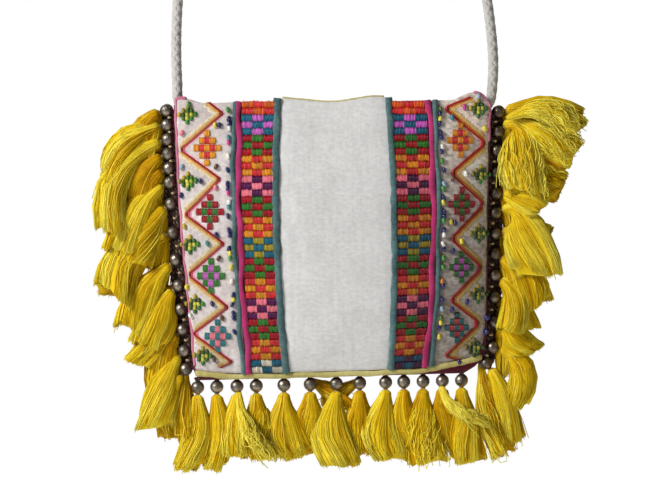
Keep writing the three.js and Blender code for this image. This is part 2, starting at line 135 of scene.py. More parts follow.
# Route of the strap's middle line in the plane Y = 0
CORD_ROUTE = np.array((
    (-95.2, -232.7), (-96.0, -221), (-96.5, -208), (-96.5, -194), (-96.0, -180), (-94.9, -165),
    (-93.0, -148), (-90.6, -130), (-87.1, -111), (-82.3, -92), (-76.4, -74), (-69.4, -57), (-61.1, -41),
    (-51.8, -27), (-41.3, -15), (-30.4, -6), (-19.2, 0), (-2.0, 3.5), (14.9, 0), (25.4, -6), (35.6, -15),
    (45.4, -27), (54.1, -41), (61.9, -57), (68.5, -74), (74.1, -92), (78.8, -111), (82.5, -130),
    (85.4, -148), (88.5, -166), (91.0, -183), (92.7, -199), (93.3, -211), (92.8, -222), (91.2, -232.7),
))

# Tassels by their beads from the top down, or from left to right along the bottom: where the tip lies from
# the bead (outwards, down, to the front), how wide the skirt ends, how steeply it leaves the bead, how far
# its middle bows and how far its tip turns back
LEFT_TASSELS = (
    (13, 40, -8, 20, 20, 0, 0), (33, 36, 2, 20, 8, 2, 1), (37, 57, 7, 18, 20, 3, 5),
    (16, 44, -6, 22, 25, 0, 2), (13, 40, -8, 22, 30, 0, 2), (29, 44, 3, 22, 25, -2, -2),
    (23, 37, 4, 23, 40, 0, -1), (37, 39, 6, 26, 20, 3, 1), (27, 43, 2, 22, 40, 0, -2),
    (16, 37, 4, 22, 45, -2, -3), (27, 34, 1, 16, 35, -3, -3), (11, 38, -5, 22, 40, 0, 0),
    (17, 48, 5, 21, 45, -2, -2), (10, 42, -5, 14, 52, 0, 0),
)
RIGHT_TASSELS = (
    (50, 10, -2, 23, -8, 0, 0), (15, 39, 9, 26, -35, 2, 2), (46, 6, 1, 25, -25, 0, 2),
    (40, 11, -3, 22, 0, 1, 2), (24, 14, 3, 22, 10, 0, 0), (22, 38, 9, 30, -20, 2, 2),
    (33, 4, -3, 18, 0, 0, 0), (29, 31, 0, 24, 30, 1, -3), (10, 35, 6, 16, 35, -1, -4),
    (16, 21, -1, 23, 14, 0, 0), (21, 20, 1, 20, 25, 2, 4), (13, 37, 2, 17, 12, -3, -2),
    (13, 50, 1, 17, 55, 1, 2),
)
BOTTOM_TASSELS = (
    (-4, 50, 1, 19, 90, -2, -3), (-1, 50, -1, 18, 90, -3, -3), (-2, 43, 2, 19, 90, 1, 2),
    (5, 44, -1, 20, 90, 0, 3), (7, 45, 1, 24, 90, 2, 4), (0, 38, -4, 20, 90, 0, 0),
    (1, 51, 4, 26, 90, 4, 4), (4, 43, -3, 20, 90, 1, 1), (2, 46, 4, 24, 90, 4, 4),
    (4, 43, -3, 18, 90, 1, 2), (4, 50, 4, 24, 90, 2, 2), (4, 43, -4, 18, 90, 0, 3),
    (1, 50, 1, 19, 90, -2, 3),
)

# Form of a tassel along its length: its half width and half depth as a mix of head and skirt
TASSEL_FORM = np.array((
    (0.0, 0.4, 0.0), (0.02, 0.75, 0.0), (0.06, 0.98, 0.0), (0.13, 1.0, 0.04), (0.2, 0.84, 0.22),
    (0.28, 0.62, 0.46), (0.38, 0.4, 0.70), (0.54, 0.15, 0.92), (0.7, 0.0, 1.02), (0.85, 0.0, 1.0),
    (1.0, 0.0, 0.93), (1.12, 0.0, 0.88),
))

# Dyes as display colours
DYES = {
    "crimson": (190, 22, 52), "green": (74, 146, 60), "gold": (236, 168, 46), "red": (226, 70, 72),
    "purple": (112, 28, 100), "pink": (250, 146, 162), "blue": (42, 126, 152), "lilac": (216, 124, 206),
    "orange": (234, 122, 48), "olive": (192, 172, 58), "teal": (66, 142, 146), "cream": (246, 238, 218),
    "white": (240, 238, 230), "navy": (34, 30, 96), "yellow": (232, 214, 70), "magenta": (206, 60, 150),
    "brown": (96, 62, 36), "garnet": (162, 4, 22), "ruby": (202, 14, 34), "russet": (150, 62, 10),
    "leaf": (76, 116, 40), "lime": (206, 204, 88), "brass": (178, 152, 118), "amber": (216, 124, 40),
    "sun": (246, 210, 136), "ochre": (228, 176, 78), "straw": (244, 226, 180), "blush": (248, 106, 146),
    "petal": (252, 206, 216), "sky": (150, 180, 200),
}
DISPLAY_GAMMA = 2.2


def dye(name):
    """A dye as a linear colour."""
    return (np.array(DYES[name]) / 255.0) ** DISPLAY_GAMMA


def unit(vectors):
    return vectors / np.maximum(np.linalg.norm(vectors, axis=-1, keepdims=True), 1e-9)


def column_curve(places, values):
    """Smooth curve through a table's column."""
    places, values = np.asarray(places, float), np.asarray(values, float)
    secants = np.diff(values) / np.diff(places)
    slopes = np.concatenate((secants[:1], (secants[1:] + secants[:-1]) / 2, secants[-1:]))

    def curve(place):
        place = np.clip(place, places[0], places[-1])
        i = np.clip(np.searchsorted(places, place, side="right") - 1, 0, len(places) - 2)
        step = places[i + 1] - places[i]
        t = (place - places[i]) / step
        rise = t * t * (3 - 2 * t)
        start = t * (1 - t) ** 2 * slopes[i] * step
        end = t * t * (1 - t) * slopes[i + 1] * step
        return values[i] * (1 - rise) + values[i + 1] * rise + start - end

    return curve


LEFT_REACH, RIGHT_REACH, FRONT_DEPTH, BACK_DEPTH, SQUARENESS, SEAM_WIDTH = (
    column_curve(POUCH_SECTIONS[:, 0], POUCH_SECTIONS[:, column]) for column in range(1, 7))
HEM_RISE = column_curve(HEM_LINE[:, 0], HEM_LINE[:, 1])
HEAD_MIX = column_curve(TASSEL_FORM[:, 0], TASSEL_FORM[:, 1])
SKIRT_MIX = column_curve(TASSEL_FORM[:, 0], TASSEL_FORM[:, 2])


def three_point_curve(first, middle, last, share):
    early = first * (1 - share) * (1 - 2 * share)
    centre = middle * 4 * share * (1 - share)
    late = last * share * (2 * share - 1)
    return early + centre + late


def height_at(x, share):
    return RIM_Z - share * (POUCH_HEIGHT - BOTTOM_TILT * x)


def share_at(x, z):
    return np.clip((RIM_Z - z) / (POUCH_HEIGHT - BOTTOM_TILT * x), 0, 1)


def line_x(name, share):
    if name == "left_edge":
        return -PANEL_SHARE * LEFT_REACH(share)
    if name == "right_edge":
        return PANEL_SHARE * RIGHT_REACH(share)
    return three_point_curve(*LINES[name], share)


def oval_depth(x, left, right, depth, square):
    reach = np.minimum(np.abs(x) / np.where(x < 0, left, right), 1)
    return depth * (1 - reach ** square) ** (1 / square)


def quilting(x, z, share):
    """How far the cloth swells between the sewn lines of the front."""
    gaps = [np.abs(x - line_x(name, share)) for name in SEAM_LINES]
    for turns, _ in ZIGZAGS.values():
        for (start_x, start_z), (end_x, end_z) in zip(turns[:-1], turns[1:]):
            run, fall = end_x - start_x, end_z - start_z
            along = np.clip(((x - start_x) * run + (z - start_z) * fall) / (run ** 2 + fall ** 2), 0, 1)
            gaps.append(np.hypot(x - start_x - along * run, z - start_z - along * fall))
    return QUILT_DEPTH * (1 - np.exp(-np.min(gaps, axis=0) / QUILT_REACH))


# Soft swells of the front: height and how they run across and down
FRONT_SWELLS = ((0.35, 15.0, 33.0), (0.25, -27.0, 12.0))
FRONT_SWELL_FADE = 6.0

# Folds of the back, which wander from side to side, and a slow sag across them
BACK_FOLD = 0.9
BACK_FOLD_RUN = 13.0
BACK_WANDER = 1.5
BACK_WANDER_FALL = 37.0
BACK_SAG = 0.7
BACK_SAG_RUN = 23.0
BACK_SAG_FALL = 19.0
BACK_FOLD_FADE = 9.0
SLOPE_STEP = 0.4


def front_depth(x, z):
    """Depth of the pouch to the front; its swells fade out where it grows thin."""
    share = share_at(x, z)
    depth = oval_depth(x, LEFT_REACH(share), RIGHT_REACH(share), FRONT_DEPTH(share), SQUARENESS(share))
    soft = sum(swell * np.sin(x / run + z / fall) for swell, run, fall in FRONT_SWELLS)
    edge = np.clip(depth / FRONT_SWELL_FADE, 0, 1)
    return depth + edge * (quilting(x, z, share) + soft - QUILT_DEPTH)


def back_depth(x, z):
    share = share_at(x, z)
    depth = oval_depth(x, LEFT_REACH(share), RIGHT_REACH(share), BACK_DEPTH(share), SQUARENESS(share))
    fold = BACK_FOLD * np.sin(x / BACK_FOLD_RUN + BACK_WANDER * np.sin(z / BACK_WANDER_FALL))
    sag = BACK_SAG * np.sin(z / BACK_SAG_FALL + x / BACK_SAG_RUN)
    return depth + np.clip(depth / BACK_FOLD_FADE, 0, 1) * (fold + sag)


def front_place(x, z, lift):
    """Points and outward normals on the front, lifted off the pouch's cloth."""
    x, z, lift = np.broadcast_arrays(np.asarray(x, float), np.asarray(z, float), np.asarray(lift, float))
    slope_x = (front_depth(x + SLOPE_STEP, z) - front_depth(x - SLOPE_STEP, z)) / (2 * SLOPE_STEP)
    slope_z = (front_depth(x, z + SLOPE_STEP) - front_depth(x, z - SLOPE_STEP)) / (2 * SLOPE_STEP)
    normals = unit(np.stack((-slope_x, -np.ones_like(x), -slope_z), axis=-1))
    points = np.stack((x, -front_depth(x, z), z), axis=-1) + normals * lift[..., None]
    return points, normals


def hem_height(x):
    return height_at(x, 1) + HEM_RISE(x)


def band_height(x, rise, down):
    top = RIM_Z + rise
    foot = hem_height(x) + HEM_WIDTH / 2 + SEAT_GAP
    return top + (foot - top) * down


# Making meshes


def metres(mesh, points):
    mesh.vertices.foreach_set("co", (points * MM).astype(np.float32).ravel())
    mesh.update()


def corners_of(mesh):
    flat = np.empty(3 * len(mesh.vertices), np.float32)
    mesh.vertices.foreach_get("co", flat)
    return flat.reshape(-1, 3).astype(float)


def to_mesh(shape, name):
    mesh = bpy.data.meshes.new(name)
    shape.to_mesh(mesh)
    shape.free()
    mesh.polygons.foreach_set("use_smooth", np.ones(len(mesh.polygons), bool))
    return mesh


def unit_grid(name, columns, rows):
    shape = bmesh.new()
    bmesh.ops.create_grid(shape, x_segments=columns, y_segments=rows, size=0.5)
    return to_mesh(shape, name)


def unit_tube(name, sides, rings):
    """Closed tube of radius 1 from -0.5 to 0.5 on Z, with even rings."""
    shape = bmesh.new()
    bmesh.ops.create_cone(shape, cap_ends=True, segments=sides, radius1=1, radius2=1, depth=1)
    along = [edge for edge in shape.edges if abs(edge.verts[0].co.z - edge.verts[1].co.z) > 0.5]
    bmesh.ops.subdivide_edges(shape, edges=along, cuts=rings - 2, use_grid_fill=True)
    return to_mesh(shape, name)


def spin_outline(shape, steps, merge):
    """Turn the outline in the XZ plane into a closed skin round Z."""
    bmesh.ops.spin(shape, geom=shape.edges[:], axis=(0, 0, 1), angle=2 * math.pi, steps=steps, use_merge=True)
    bmesh.ops.remove_doubles(shape, verts=shape.verts, dist=merge)
    bmesh.ops.recalc_face_normals(shape, faces=shape.faces)


def add_piece(name, mesh, finish, slot, *nodes):
    """One finished piece of the purse, and the nodes of the frame that it stands for."""
    piece = bpy.data.objects.new(name, mesh)
    bpy.context.scene.collection.objects.link(piece)
    mesh.materials.clear()
    mesh.materials.append(FINISHES[finish])
    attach(piece, "root")
    if nodes:
        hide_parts(*nodes)
    return piece


def thicken(piece, thickness):
    wall = piece.modifiers.new("cloth thickness", "SOLIDIFY")
    wall.thickness = thickness * MM
    wall.offset = -1


def thread_frame(points, outward):
    """Directions across and out of each ring of threads that run along the second axis."""
    course = unit(np.gradient(points, axis=1))
    deep = unit(outward - course * np.sum(outward * course, axis=-1, keepdims=True))
    return np.cross(deep, course), deep


class Threadwork:
    """Many small closed shapes, gathered as arrays and joined into one mesh."""

    def __init__(self):
        self.points, self.colours, self.faces = [], [], []
        self.total = 0

    def add(self, points, faces, colours):
        self.points.append(points)
        self.colours.append(colours)
        self.faces += [rows + self.total for rows in faces]
        self.total += len(points)

    def shells(self, points, colours):
        """Closed skins through rings of points; both arguments are (skins, rings, sides, 3)."""
        skins, rings, sides, _ = points.shape
        index = np.arange(skins * rings * sides).reshape(skins, rings, sides)
        beside = np.roll(index, -1, axis=2)
        walls = np.stack((index[:, :-1], beside[:, :-1], beside[:, 1:], index[:, 1:]), axis=-1)
        faces = [walls.reshape(-1, 4), index[:, 0, ::-1], index[:, -1]]
        shades = np.array(np.broadcast_to(colours, points.shape))
        self.add(points.reshape(-1, 3), faces, shades.reshape(-1, 3))

    def tubes(self, centres, wide, deep, sides, colours):
        """Round threads of equal length; every argument but sides is (threads, rings, 3)."""
        turn = 2 * np.pi * np.arange(sides)[:, None] / sides
        points = centres[:, :, None] + np.cos(turn) * wide[:, :, None] + np.sin(turn) * deep[:, :, None]
        self.shells(points, np.broadcast_to(colours, centres.shape)[:, :, None])

    def copies(self, template, places, axes, colours):
        """Copies of one small shape; axes holds the directions of its X, Y and Z for each place."""
        shape, faces = template
        points = places[:, None] + np.einsum("pi,nij->npj", shape, axes)
        offsets = np.arange(len(places))[:, None, None] * len(shape)
        rows = [(row[None] + offsets).reshape(-1, row.shape[1]) for row in faces]
        self.add(points.reshape(-1, 3), rows, np.repeat(colours, len(shape), axis=0))

    def mesh(self, name):
        points = np.concatenate(self.points)
        sizes = np.concatenate([np.full(len(rows), rows.shape[1]) for rows in self.faces])
        corners = np.concatenate([rows.ravel() for rows in self.faces])
        mesh = bpy.data.meshes.new(name)
        mesh.vertices.add(len(points))
        mesh.loops.add(len(corners))
        mesh.loops.foreach_set("vertex_index", corners.astype(np.int32))
        mesh.polygons.add(len(sizes))
        mesh.polygons.foreach_set("loop_start", (np.cumsum(sizes) - sizes).astype(np.int32))
        mesh.polygons.foreach_set("use_smooth", np.ones(len(sizes), bool))
        metres(mesh, points)
        tint = mesh.color_attributes.new("thread_colour", "FLOAT_COLOR", "POINT")
        shades = np.ones((len(points), 4), np.float32)
        shades[:, :3] = np.clip(np.concatenate(self.colours), 0, 1)
        tint.data.foreach_set("color", shades.ravel())
        mesh.update(calc_edges=True)
        mesh.validate()
        return mesh

    def piece(self, name, finish, slot, *nodes):
        return add_piece(name, self.mesh(name), finish, slot, *nodes)


def template_of(shape):
    """Points and faces of a small bmesh, the faces sorted by their number of corners."""
    points = np.array([vertex.co for vertex in shape.verts])
    shape.verts.index_update()
    rows = {}
    for face in shape.faces:
        rows.setdefault(len(face.verts), []).append([vertex.index for vertex in face.verts])
    shape.free()
    return points, [np.array(row) for row in rows.values()]


# Form of a stitch: how deep its ends sink in, how slender they are, and its thickness beside its width
STITCH_RINGS = 6
STITCH_SINK = 0.15
STITCH_END = 0.72
STITCH_THICKNESS = 0.4


def sew(work, starts, ends, width, height, near, far, sides=5):
    """Arched stitches on the front between (x, z) points; their colour runs from near to far."""
    share = np.linspace(0, 1, STITCH_RINGS)[None, :, None]
    places = starts[:, None] + (ends - starts)[:, None] * share
    arch = np.sqrt(np.sin(np.pi * share[..., 0]))
    points, normals = front_place(places[..., 0], places[..., 1], CLOTH_TOP - STITCH_SINK + height * arch)
    wide, deep = thread_frame(points, normals)
    body = STITCH_END + (1 - STITCH_END) * arch[..., None]
    colours = near[:, None] + (far - near)[:, None] * share
    work.tubes(points, wide * width / 2 * body, deep * width * STITCH_THICKNESS * body, sides, colours)


# How far the stitches of a side are darkened further down, as share of the way down and share of their
# lightness that is left, and the power that deepens their dark dyes; on the right this is painted shade,
# strongest towards the bottom, where the purse turns away from the light
STITCH_SHADING = {
    "left": np.array(((0.0, 0.96), (0.25, 0.98), (0.42, 0.86), (0.82, 0.86), (1.0, 0.7))),
    "right": np.array(((0.0, 0.92), (0.2, 0.78), (0.42, 0.53), (0.82, 0.53), (1.0, 0.47))),
}
DEEPENING = {"left": 1.2, "right": 1.4}


def shade_stitches(work, side):
    """Darken a side's stitches, more so further down; on the right this is painted shade."""
    for points, colours in zip(work.points, work.colours):
        share = share_at(points[:, 0], points[:, 2])
        left_over = np.interp(share, STITCH_SHADING[side][:, 0], STITCH_SHADING[side][:, 1])[:, None]
        colours[:] = left_over * colours ** DEEPENING[side]


def varied(colours, amount):
    """Each thread a little lighter or darker."""
    return colours * rng.uniform(1 - amount, 1 + amount, (len(colours), 1))


# Materials: their noise in lumps to the metre, and how far it is drawn out on each axis
CLOUD_SCALE = 55
SLUB_SCALE = 420
SLUB_STRETCH = (1.0, 1.0, 0.06)
NAP_SCALE = 600
NAP_STRETCH = (0.6, 1.0, 1.0)
FIBRE_SCALE = 1500
TARNISH_SCALE = 260
DENT_SCALE = 900
GLASS_CLOUD_SCALE = 700
GLASS_GLOSS_SCALE = 1200
FLOOR_SCALE = 3

# Length in metres of one wave of a band texture whose scale is 1
BAND_WAVE = 0.314


def node(tree, kind, inputs=None, **settings):
    made = tree.nodes.new(kind)
    for name, value in settings.items():
        setattr(made, name, value)
    for name, value in (inputs or {}).items():
        if isinstance(value, bpy.types.NodeSocket):
            tree.links.new(value, made.inputs[name])
        else:
            made.inputs[name].default_value = value
    return made


def new_finish(name, **sockets):
    material = bpy.data.materials.new(name)
    material.use_nodes = True
    tree = material.node_tree
    shader = tree.nodes["Principled BSDF"]
    for socket, value in sockets.items():
        shader.inputs[socket.replace("_", " ")].default_value = value
    return material, tree, shader


def rgba(colour):
    return (*colour, 1.0)


def object_place(tree):
    return node(tree, "ShaderNodeTexCoord").outputs["Object"]


def noise(tree, scale, detail=3.0, stretch=(1, 1, 1)):
    place = node(tree, "ShaderNodeMapping", {"Vector": object_place(tree), "Scale": stretch})
    inputs = {"Vector": place.outputs[0], "Scale": scale, "Detail": detail}
    return node(tree, "ShaderNodeTexNoise", inputs).outputs[0]


def spread(tree, value, low, high, start=0.3, end=0.7):
    """Spread a value from the range start to end over the range low to high."""
    inputs = {"Value": value, "From Min": start, "From Max": end, "To Min": low, "To Max": high}
    return node(tree, "ShaderNodeMapRange", inputs).outputs[0]


def mixed(tree, share, first, second, blend="MIX"):
    inputs = {0: share, 6: first, 7: second}
    made = node(tree, "ShaderNodeMix", inputs, data_type="RGBA", blend_type=blend, clamp_result=True)
    return made.outputs[2]


def weave(tree, pitch):
    """Height of a plain weave with threads on X and Z."""
    waves = []
    for direction in "XZ":
        inputs = {"Vector": object_place(tree), "Scale": BAND_WAVE / (pitch * MM), "Distortion": 1.6,
                  "Detail": 2.0, "Detail Scale": 0.6}
        wave = node(tree, "ShaderNodeTexWave", inputs, wave_type="BANDS", bands_direction=direction)
        waves.append(wave.outputs[1])
    return node(tree, "ShaderNodeMath", {0: waves[0], 1: waves[1]}, operation="MAXIMUM").outputs[0]


def bump(tree, shader, height, strength, distance):
    inputs = {"Height": height, "Strength": strength, "Distance": distance * MM}
    tree.links.new(node(tree, "ShaderNodeBump", inputs).outputs[0], shader.inputs["Normal"])


# A cloth with painted shade is unshaded above the first of these heights and grows no darker below the second
SHADE_START_Z = -238.0
SHADE_FULL_Z = -318.0
WEAVE_RELIEF = 0.25
FIBRE_RELIEF = 0.12
DENT_RELIEF = 0.15
TARNISH_DARKNESS = 0.36
FLOOR_GLOW = 0.3


def cloth_finish(name, bright, deep, pitch, relief=0.5, bottom_shade=0.0, weave_depth=0.28, nap=0.0):
    """Woven cotton: a soft change of dye, slubs, a raised weave, a nap, and painted shade that darkens it
    further down.
    """
    material, tree, shader = new_finish(name, Roughness=0.88, Sheen_Weight=0.25, Sheen_Roughness=0.5,
                                        Specular_IOR_Level=0.25)
    cloud = spread(tree, noise(tree, CLOUD_SCALE, 4), 0.0, 1.0)
    slubs = spread(tree, noise(tree, SLUB_SCALE, 3, SLUB_STRETCH), 1 - weave_depth / 2, 1.06)
    threads = weave(tree, pitch)
    dyed = mixed(tree, cloud, rgba(deep), rgba(bright))
    streaked = mixed(tree, 1.0, dyed, slubs, "MULTIPLY")
    woven = mixed(tree, 1.0, streaked, spread(tree, threads, 1 - weave_depth, 1.05, 0.2, 0.9), "MULTIPLY")
    if nap:
        brushed = spread(tree, noise(tree, NAP_SCALE, 4, NAP_STRETCH), 1 - nap, 1 + nap / 2)
        woven = mixed(tree, 1.0, woven, brushed, "MULTIPLY")
    # Painted shade: the cloth darker further down
    if bottom_shade:
        height = node(tree, "ShaderNodeSeparateXYZ", {"Vector": object_place(tree)}).outputs["Z"]
        shade_factor = spread(tree, height, 1 - bottom_shade, 1.0, SHADE_FULL_Z * MM, SHADE_START_Z * MM)
        woven = mixed(tree, 1.0, woven, shade_factor, "MULTIPLY")
    tree.links.new(woven, shader.inputs["Base Color"])
    bump(tree, shader, threads, relief, WEAVE_RELIEF)
    return material


def thread_finish(name, roughness, shine, mottle=0.2, relief=0.35):
    """Cotton or silk thread in the colour that each thread was dyed."""
    material, tree, shader = new_finish(name, Roughness=roughness, Specular_IOR_Level=shine)
    dyed = node(tree, "ShaderNodeAttribute", attribute_name="thread_colour").outputs["Color"]
    fibres = noise(tree, FIBRE_SCALE, 2)
    shade = spread(tree, fibres, 1 - mottle, 1 + mottle / 2)
    tree.links.new(mixed(tree, 1.0, dyed, shade, "MULTIPLY"), shader.inputs["Base Color"])
    bump(tree, shader, fibres, relief, FIBRE_RELIEF)
    return material


def bead_metal_finish(name, bright):
    """Dull antiqued metal, darker where the tarnish stayed."""
    material, tree, shader = new_finish(name, Metallic=1.0)
    tarnish = spread(tree, noise(tree, TARNISH_SCALE, 5), 0.0, 1.0, 0.38, 0.62)
    colour = mixed(tree, tarnish, rgba(TARNISH_DARKNESS * bright), rgba(bright))
    tree.links.new(colour, shader.inputs["Base Color"])
    tree.links.new(spread(tree, tarnish, 0.5, 0.36, 0, 1), shader.inputs["Roughness"])
    bump(tree, shader, noise(tree, DENT_SCALE, 3), 0.12, DENT_RELIEF)
    return material


def seed_glass_finish():
    """Glossy little beads in the colour of their glass."""
    material, tree, shader = new_finish("seed glass", Coat_Weight=0.6, Coat_Roughness=0.06, IOR=1.5)
    glass = node(tree, "ShaderNodeAttribute", attribute_name="thread_colour").outputs["Color"]
    cloud = spread(tree, noise(tree, GLASS_CLOUD_SCALE, 2), 0.75, 1.15)
    tree.links.new(mixed(tree, 1.0, glass, cloud, "MULTIPLY"), shader.inputs["Base Color"])
    gloss = spread(tree, noise(tree, GLASS_GLOSS_SCALE, 2), 0.12, 0.3)
    tree.links.new(gloss, shader.inputs["Roughness"])
    return material


def floor_finish():
    """Pale floor with a glow of its own, so that it stays pale where little light falls."""
    material, tree, shader = new_finish("pale floor", Roughness=0.9, Emission_Color=(1, 1, 1, 1),
                                        Emission_Strength=FLOOR_GLOW)
    cloud = spread(tree, noise(tree, FLOOR_SCALE, 4), 0, 1)
    tone = mixed(tree, cloud, rgba((0.80, 0.80, 0.79)), rgba((0.86, 0.86, 0.85)))
    tree.links.new(tone, shader.inputs["Base Color"])
    return material


FINISHES = {
    "red": cloth_finish("dark red cotton", (0.17, 0.008, 0.03), (0.10, 0.004, 0.018), 0.8),
    "white": cloth_finish("white cotton", (0.76, 0.75, 0.735), (0.68, 0.67, 0.655), 0.75, 0.3,
                          weave_depth=0.06, nap=0.12),
    "band_left": cloth_finish("band cotton", (0.86, 0.79, 0.76), (0.68, 0.58, 0.55), 0.7, 0.35, nap=0.2),
    # The right band is darkened towards the bottom with painted shade, where the purse turns away from the
    # light
    "band_right": cloth_finish("shaded band cotton", (1.0, 0.90, 0.80), (0.80, 0.64, 0.52), 0.7, 0.35,
                               bottom_shade=0.53, nap=0.5),
    "ground": cloth_finish("stitched ground", (0.20, 0.03, 0.05), (0.10, 0.02, 0.03), 0.7),
    "teal": cloth_finish("teal cotton", (0.13, 0.25, 0.25), (0.055, 0.12, 0.125), 0.6, nap=0.35),
    "rose": cloth_finish("rose cotton", (0.64, 0.038, 0.20), (0.38, 0.02, 0.11), 0.6, nap=0.25),
    "pink": cloth_finish("pink cotton", (0.80, 0.32, 0.42), (0.62, 0.16, 0.28), 0.6),
    "yellow": cloth_finish("pale yellow cotton", (0.74, 0.66, 0.26), (0.52, 0.43, 0.12), 0.6),
    "cord": thread_finish("strap cotton", 0.8, 0.2, 0.12),
    "silk": thread_finish("embroidery silk", 0.42, 0.5),
    "tassel": thread_finish("tassel cotton", 0.6, 0.08, 0.15, 0.2),
    "metal": bead_metal_finish("antique bead metal", np.array((0.38, 0.335, 0.275))),
    # A darker copy of the bead metal for the right side: painted shade where the purse turns away from the
    # light
    "shaded_metal": bead_metal_finish("shaded bead metal", np.array((0.27, 0.22, 0.175))),
    "glass": seed_glass_finish(),
}


# The camera, almost level with the purse
VIEW_WIDTH = 402.0
VIEW_TARGET = np.array((-1.5, 0.0, -321.8))
VIEW_DISTANCE = 2000.0
VIEW_ELEVATION = 2.0
SENSOR_WIDTH = 36.0


def add_camera():
    lens = bpy.data.cameras.new("photo camera")
    lens.sensor_width = SENSOR_WIDTH
    lens.lens = SENSOR_WIDTH * VIEW_DISTANCE / VIEW_WIDTH
    camera = bpy.data.objects.new("photo camera", lens)
    bpy.context.scene.collection.objects.link(camera)
    rise = math.radians(VIEW_ELEVATION)
    back = np.array((0.0, -math.cos(rise), math.sin(rise)))
    camera.location = (VIEW_TARGET + back * VIEW_DISTANCE) * MM
    camera.rotation_euler = (math.pi / 2 - rise, 0, 0)
    bpy.context.scene.camera = camera


# The strap: four cords each way round a core, over and under each other
BRAID_PITCH = 24.0
BRAID_CORDS = 4
BRAID_RADIUS = 1.95
BRAID_WEAVE = 0.2
BRAID_CORD_WIDTH = 3.5
BRAID_CORD_DEPTH = 2.3
BRAID_STEP = 1.4
BRAID_SIDES = 6
BRAID_VARIATION = 0.05
CORE_SIDES = 8
CORE_TONE = np.array((0.6, 0.6, 0.6))
STRAP_TAILS = np.array(((-91.0, -239.0), (86.5, -239.0)))
STRAP_TONE = np.array((0.56, 0.54, 0.50))


def smooth_route(points, step):
    """A smooth line through given points, with places at an even distance."""
    spans = np.concatenate(([0], np.cumsum(np.linalg.norm(np.diff(points, axis=0), axis=1))))
    fine = np.linspace(0, spans[-1], int(spans[-1] / step) + 1)
    return np.stack([column_curve(spans, column)(fine) for column in points.T], axis=-1)


def build_strap():
    flat = smooth_route(np.concatenate((STRAP_TAILS[:1], CORD_ROUTE, STRAP_TAILS[1:])), BRAID_STEP)
    middle = np.stack((flat[:, 0], np.zeros(len(flat)), flat[:, 1]), axis=-1)
    course = unit(np.gradient(middle, axis=0))
    side = np.cross(BACK, course)
    way = np.arange(len(middle)) * BRAID_STEP
    work = Threadwork()
    for hand in (1, -1):
        start = 2 * np.pi * np.arange(BRAID_CORDS)[:, None] / BRAID_CORDS
        turn = start + hand * 2 * np.pi * way / BRAID_PITCH
        radius = BRAID_RADIUS + hand * BRAID_WEAVE * np.cos(2 * np.pi * BRAID_CORDS * way / BRAID_PITCH)
        out = np.cos(turn)[..., None] * side + np.sin(turn)[..., None] * BACK
        points = middle + out * radius[:, None]
        wide, deep = thread_frame(points, out)
        tone = varied(np.tile(STRAP_TONE, (BRAID_CORDS, 1)), BRAID_VARIATION)[:, None]
        work.tubes(points, wide * BRAID_CORD_WIDTH / 2, deep * BRAID_CORD_DEPTH / 2, BRAID_SIDES, tone)
    core_side, core_back = side[None] * BRAID_RADIUS, np.cross(course, side)[None] * BRAID_RADIUS
    work.tubes(middle[None], core_side, core_back, CORE_SIDES, CORE_TONE)
    strap = work.piece("braided_strap", "cord", "cord_cotton", "strap_cord")


# The pouch: skin from the foot up to the rim, then the inside down to its floor
POUCH_SIDES = 112
POUCH_RINGS = 90


def build_pouch():
    mesh = unit_tube("pouch_bag", POUCH_SIDES, POUCH_RINGS)
    corners = corners_of(mesh)
    turn = np.arctan2(corners[:, 1], corners[:, 0])
    place = corners[:, 2] * 2
    is_skin = place <= 0
    share = np.where(is_skin, -place, np.clip(place, 0, 1) * CAVITY_FLOOR_SHARE)
    inset = np.where(is_skin, 0, SEAM_WIDTH(share))
    left, right = LEFT_REACH(share) - inset, RIGHT_REACH(share) - inset
    x = np.cos(turn) * np.where(np.cos(turn) < 0, left, right)
    z = height_at(x, share)
    is_front = np.sin(turn) < 0
    hollow = np.where(is_front, FRONT_DEPTH(share), BACK_DEPTH(share)) - POUCH_WALL
    inner = oval_depth(x, left, right, hollow, SQUARENESS(share))
    outer = np.where(is_front, front_depth(x, z), back_depth(x, z))
    depth = np.where(is_skin, outer, inner)
    metres(mesh, np.stack((x, np.where(is_front, -depth, depth), z), axis=-1))
    pouch = add_piece("pouch_bag", mesh, "red", "pouch_cloth", "pouch")


# The cloth of the front: columns and rows of each kind of band, and the puckers beside its seams
CENTRE_GRID = (44, 100)
CHECK_GRID = (12, 60)
ZIGZAG_GRID = (30, 90)
PUCKER = 0.22
PUCKER_FADE = 12.0
PUCKER_PITCH = 2.1
PUCKER_DRIFT = 3.0
PUCKER_DRIFT_PITCH = 13.0


def band_line(band, share, across):
    start, end, _ = BANDS[band]
    first, last = line_x(start, share) + SEAT_GAP / 2, line_x(end, share) - SEAT_GAP / 2
    return first + (last - first) * across


def band_top(band, across):
    edge = np.array(BANDS[band][2], float)
    return column_curve(edge[:, 0], edge[:, 1])(across)


def build_band(band, name, finish, slot, grid):
    mesh = unit_grid(name, *grid)
    corners = corners_of(mesh)
    across, down = corners[:, 0] + 0.5, 0.5 - corners[:, 1]
    share = down * PANEL_FOOT_SHARE
    x = band_line(band, share, across)
    z = band_height(x, band_top(band, across), down)
    near_seam = np.exp(-np.minimum(across, 1 - across) * PUCKER_FADE)
    drift = PUCKER_DRIFT * np.sin(z / PUCKER_DRIFT_PITCH)
    pucker = PUCKER * near_seam * np.sin(z / PUCKER_PITCH + drift)
    points, _ = front_place(x, z, CLOTH_TOP + pucker)
    metres(mesh, points)
    piece = add_piece(name, mesh, finish, slot, band)
    thicken(piece, PANEL_THICKNESS)
    width = np.ptp(band_line(band, 0.5, np.array((0.0, 1.0))))


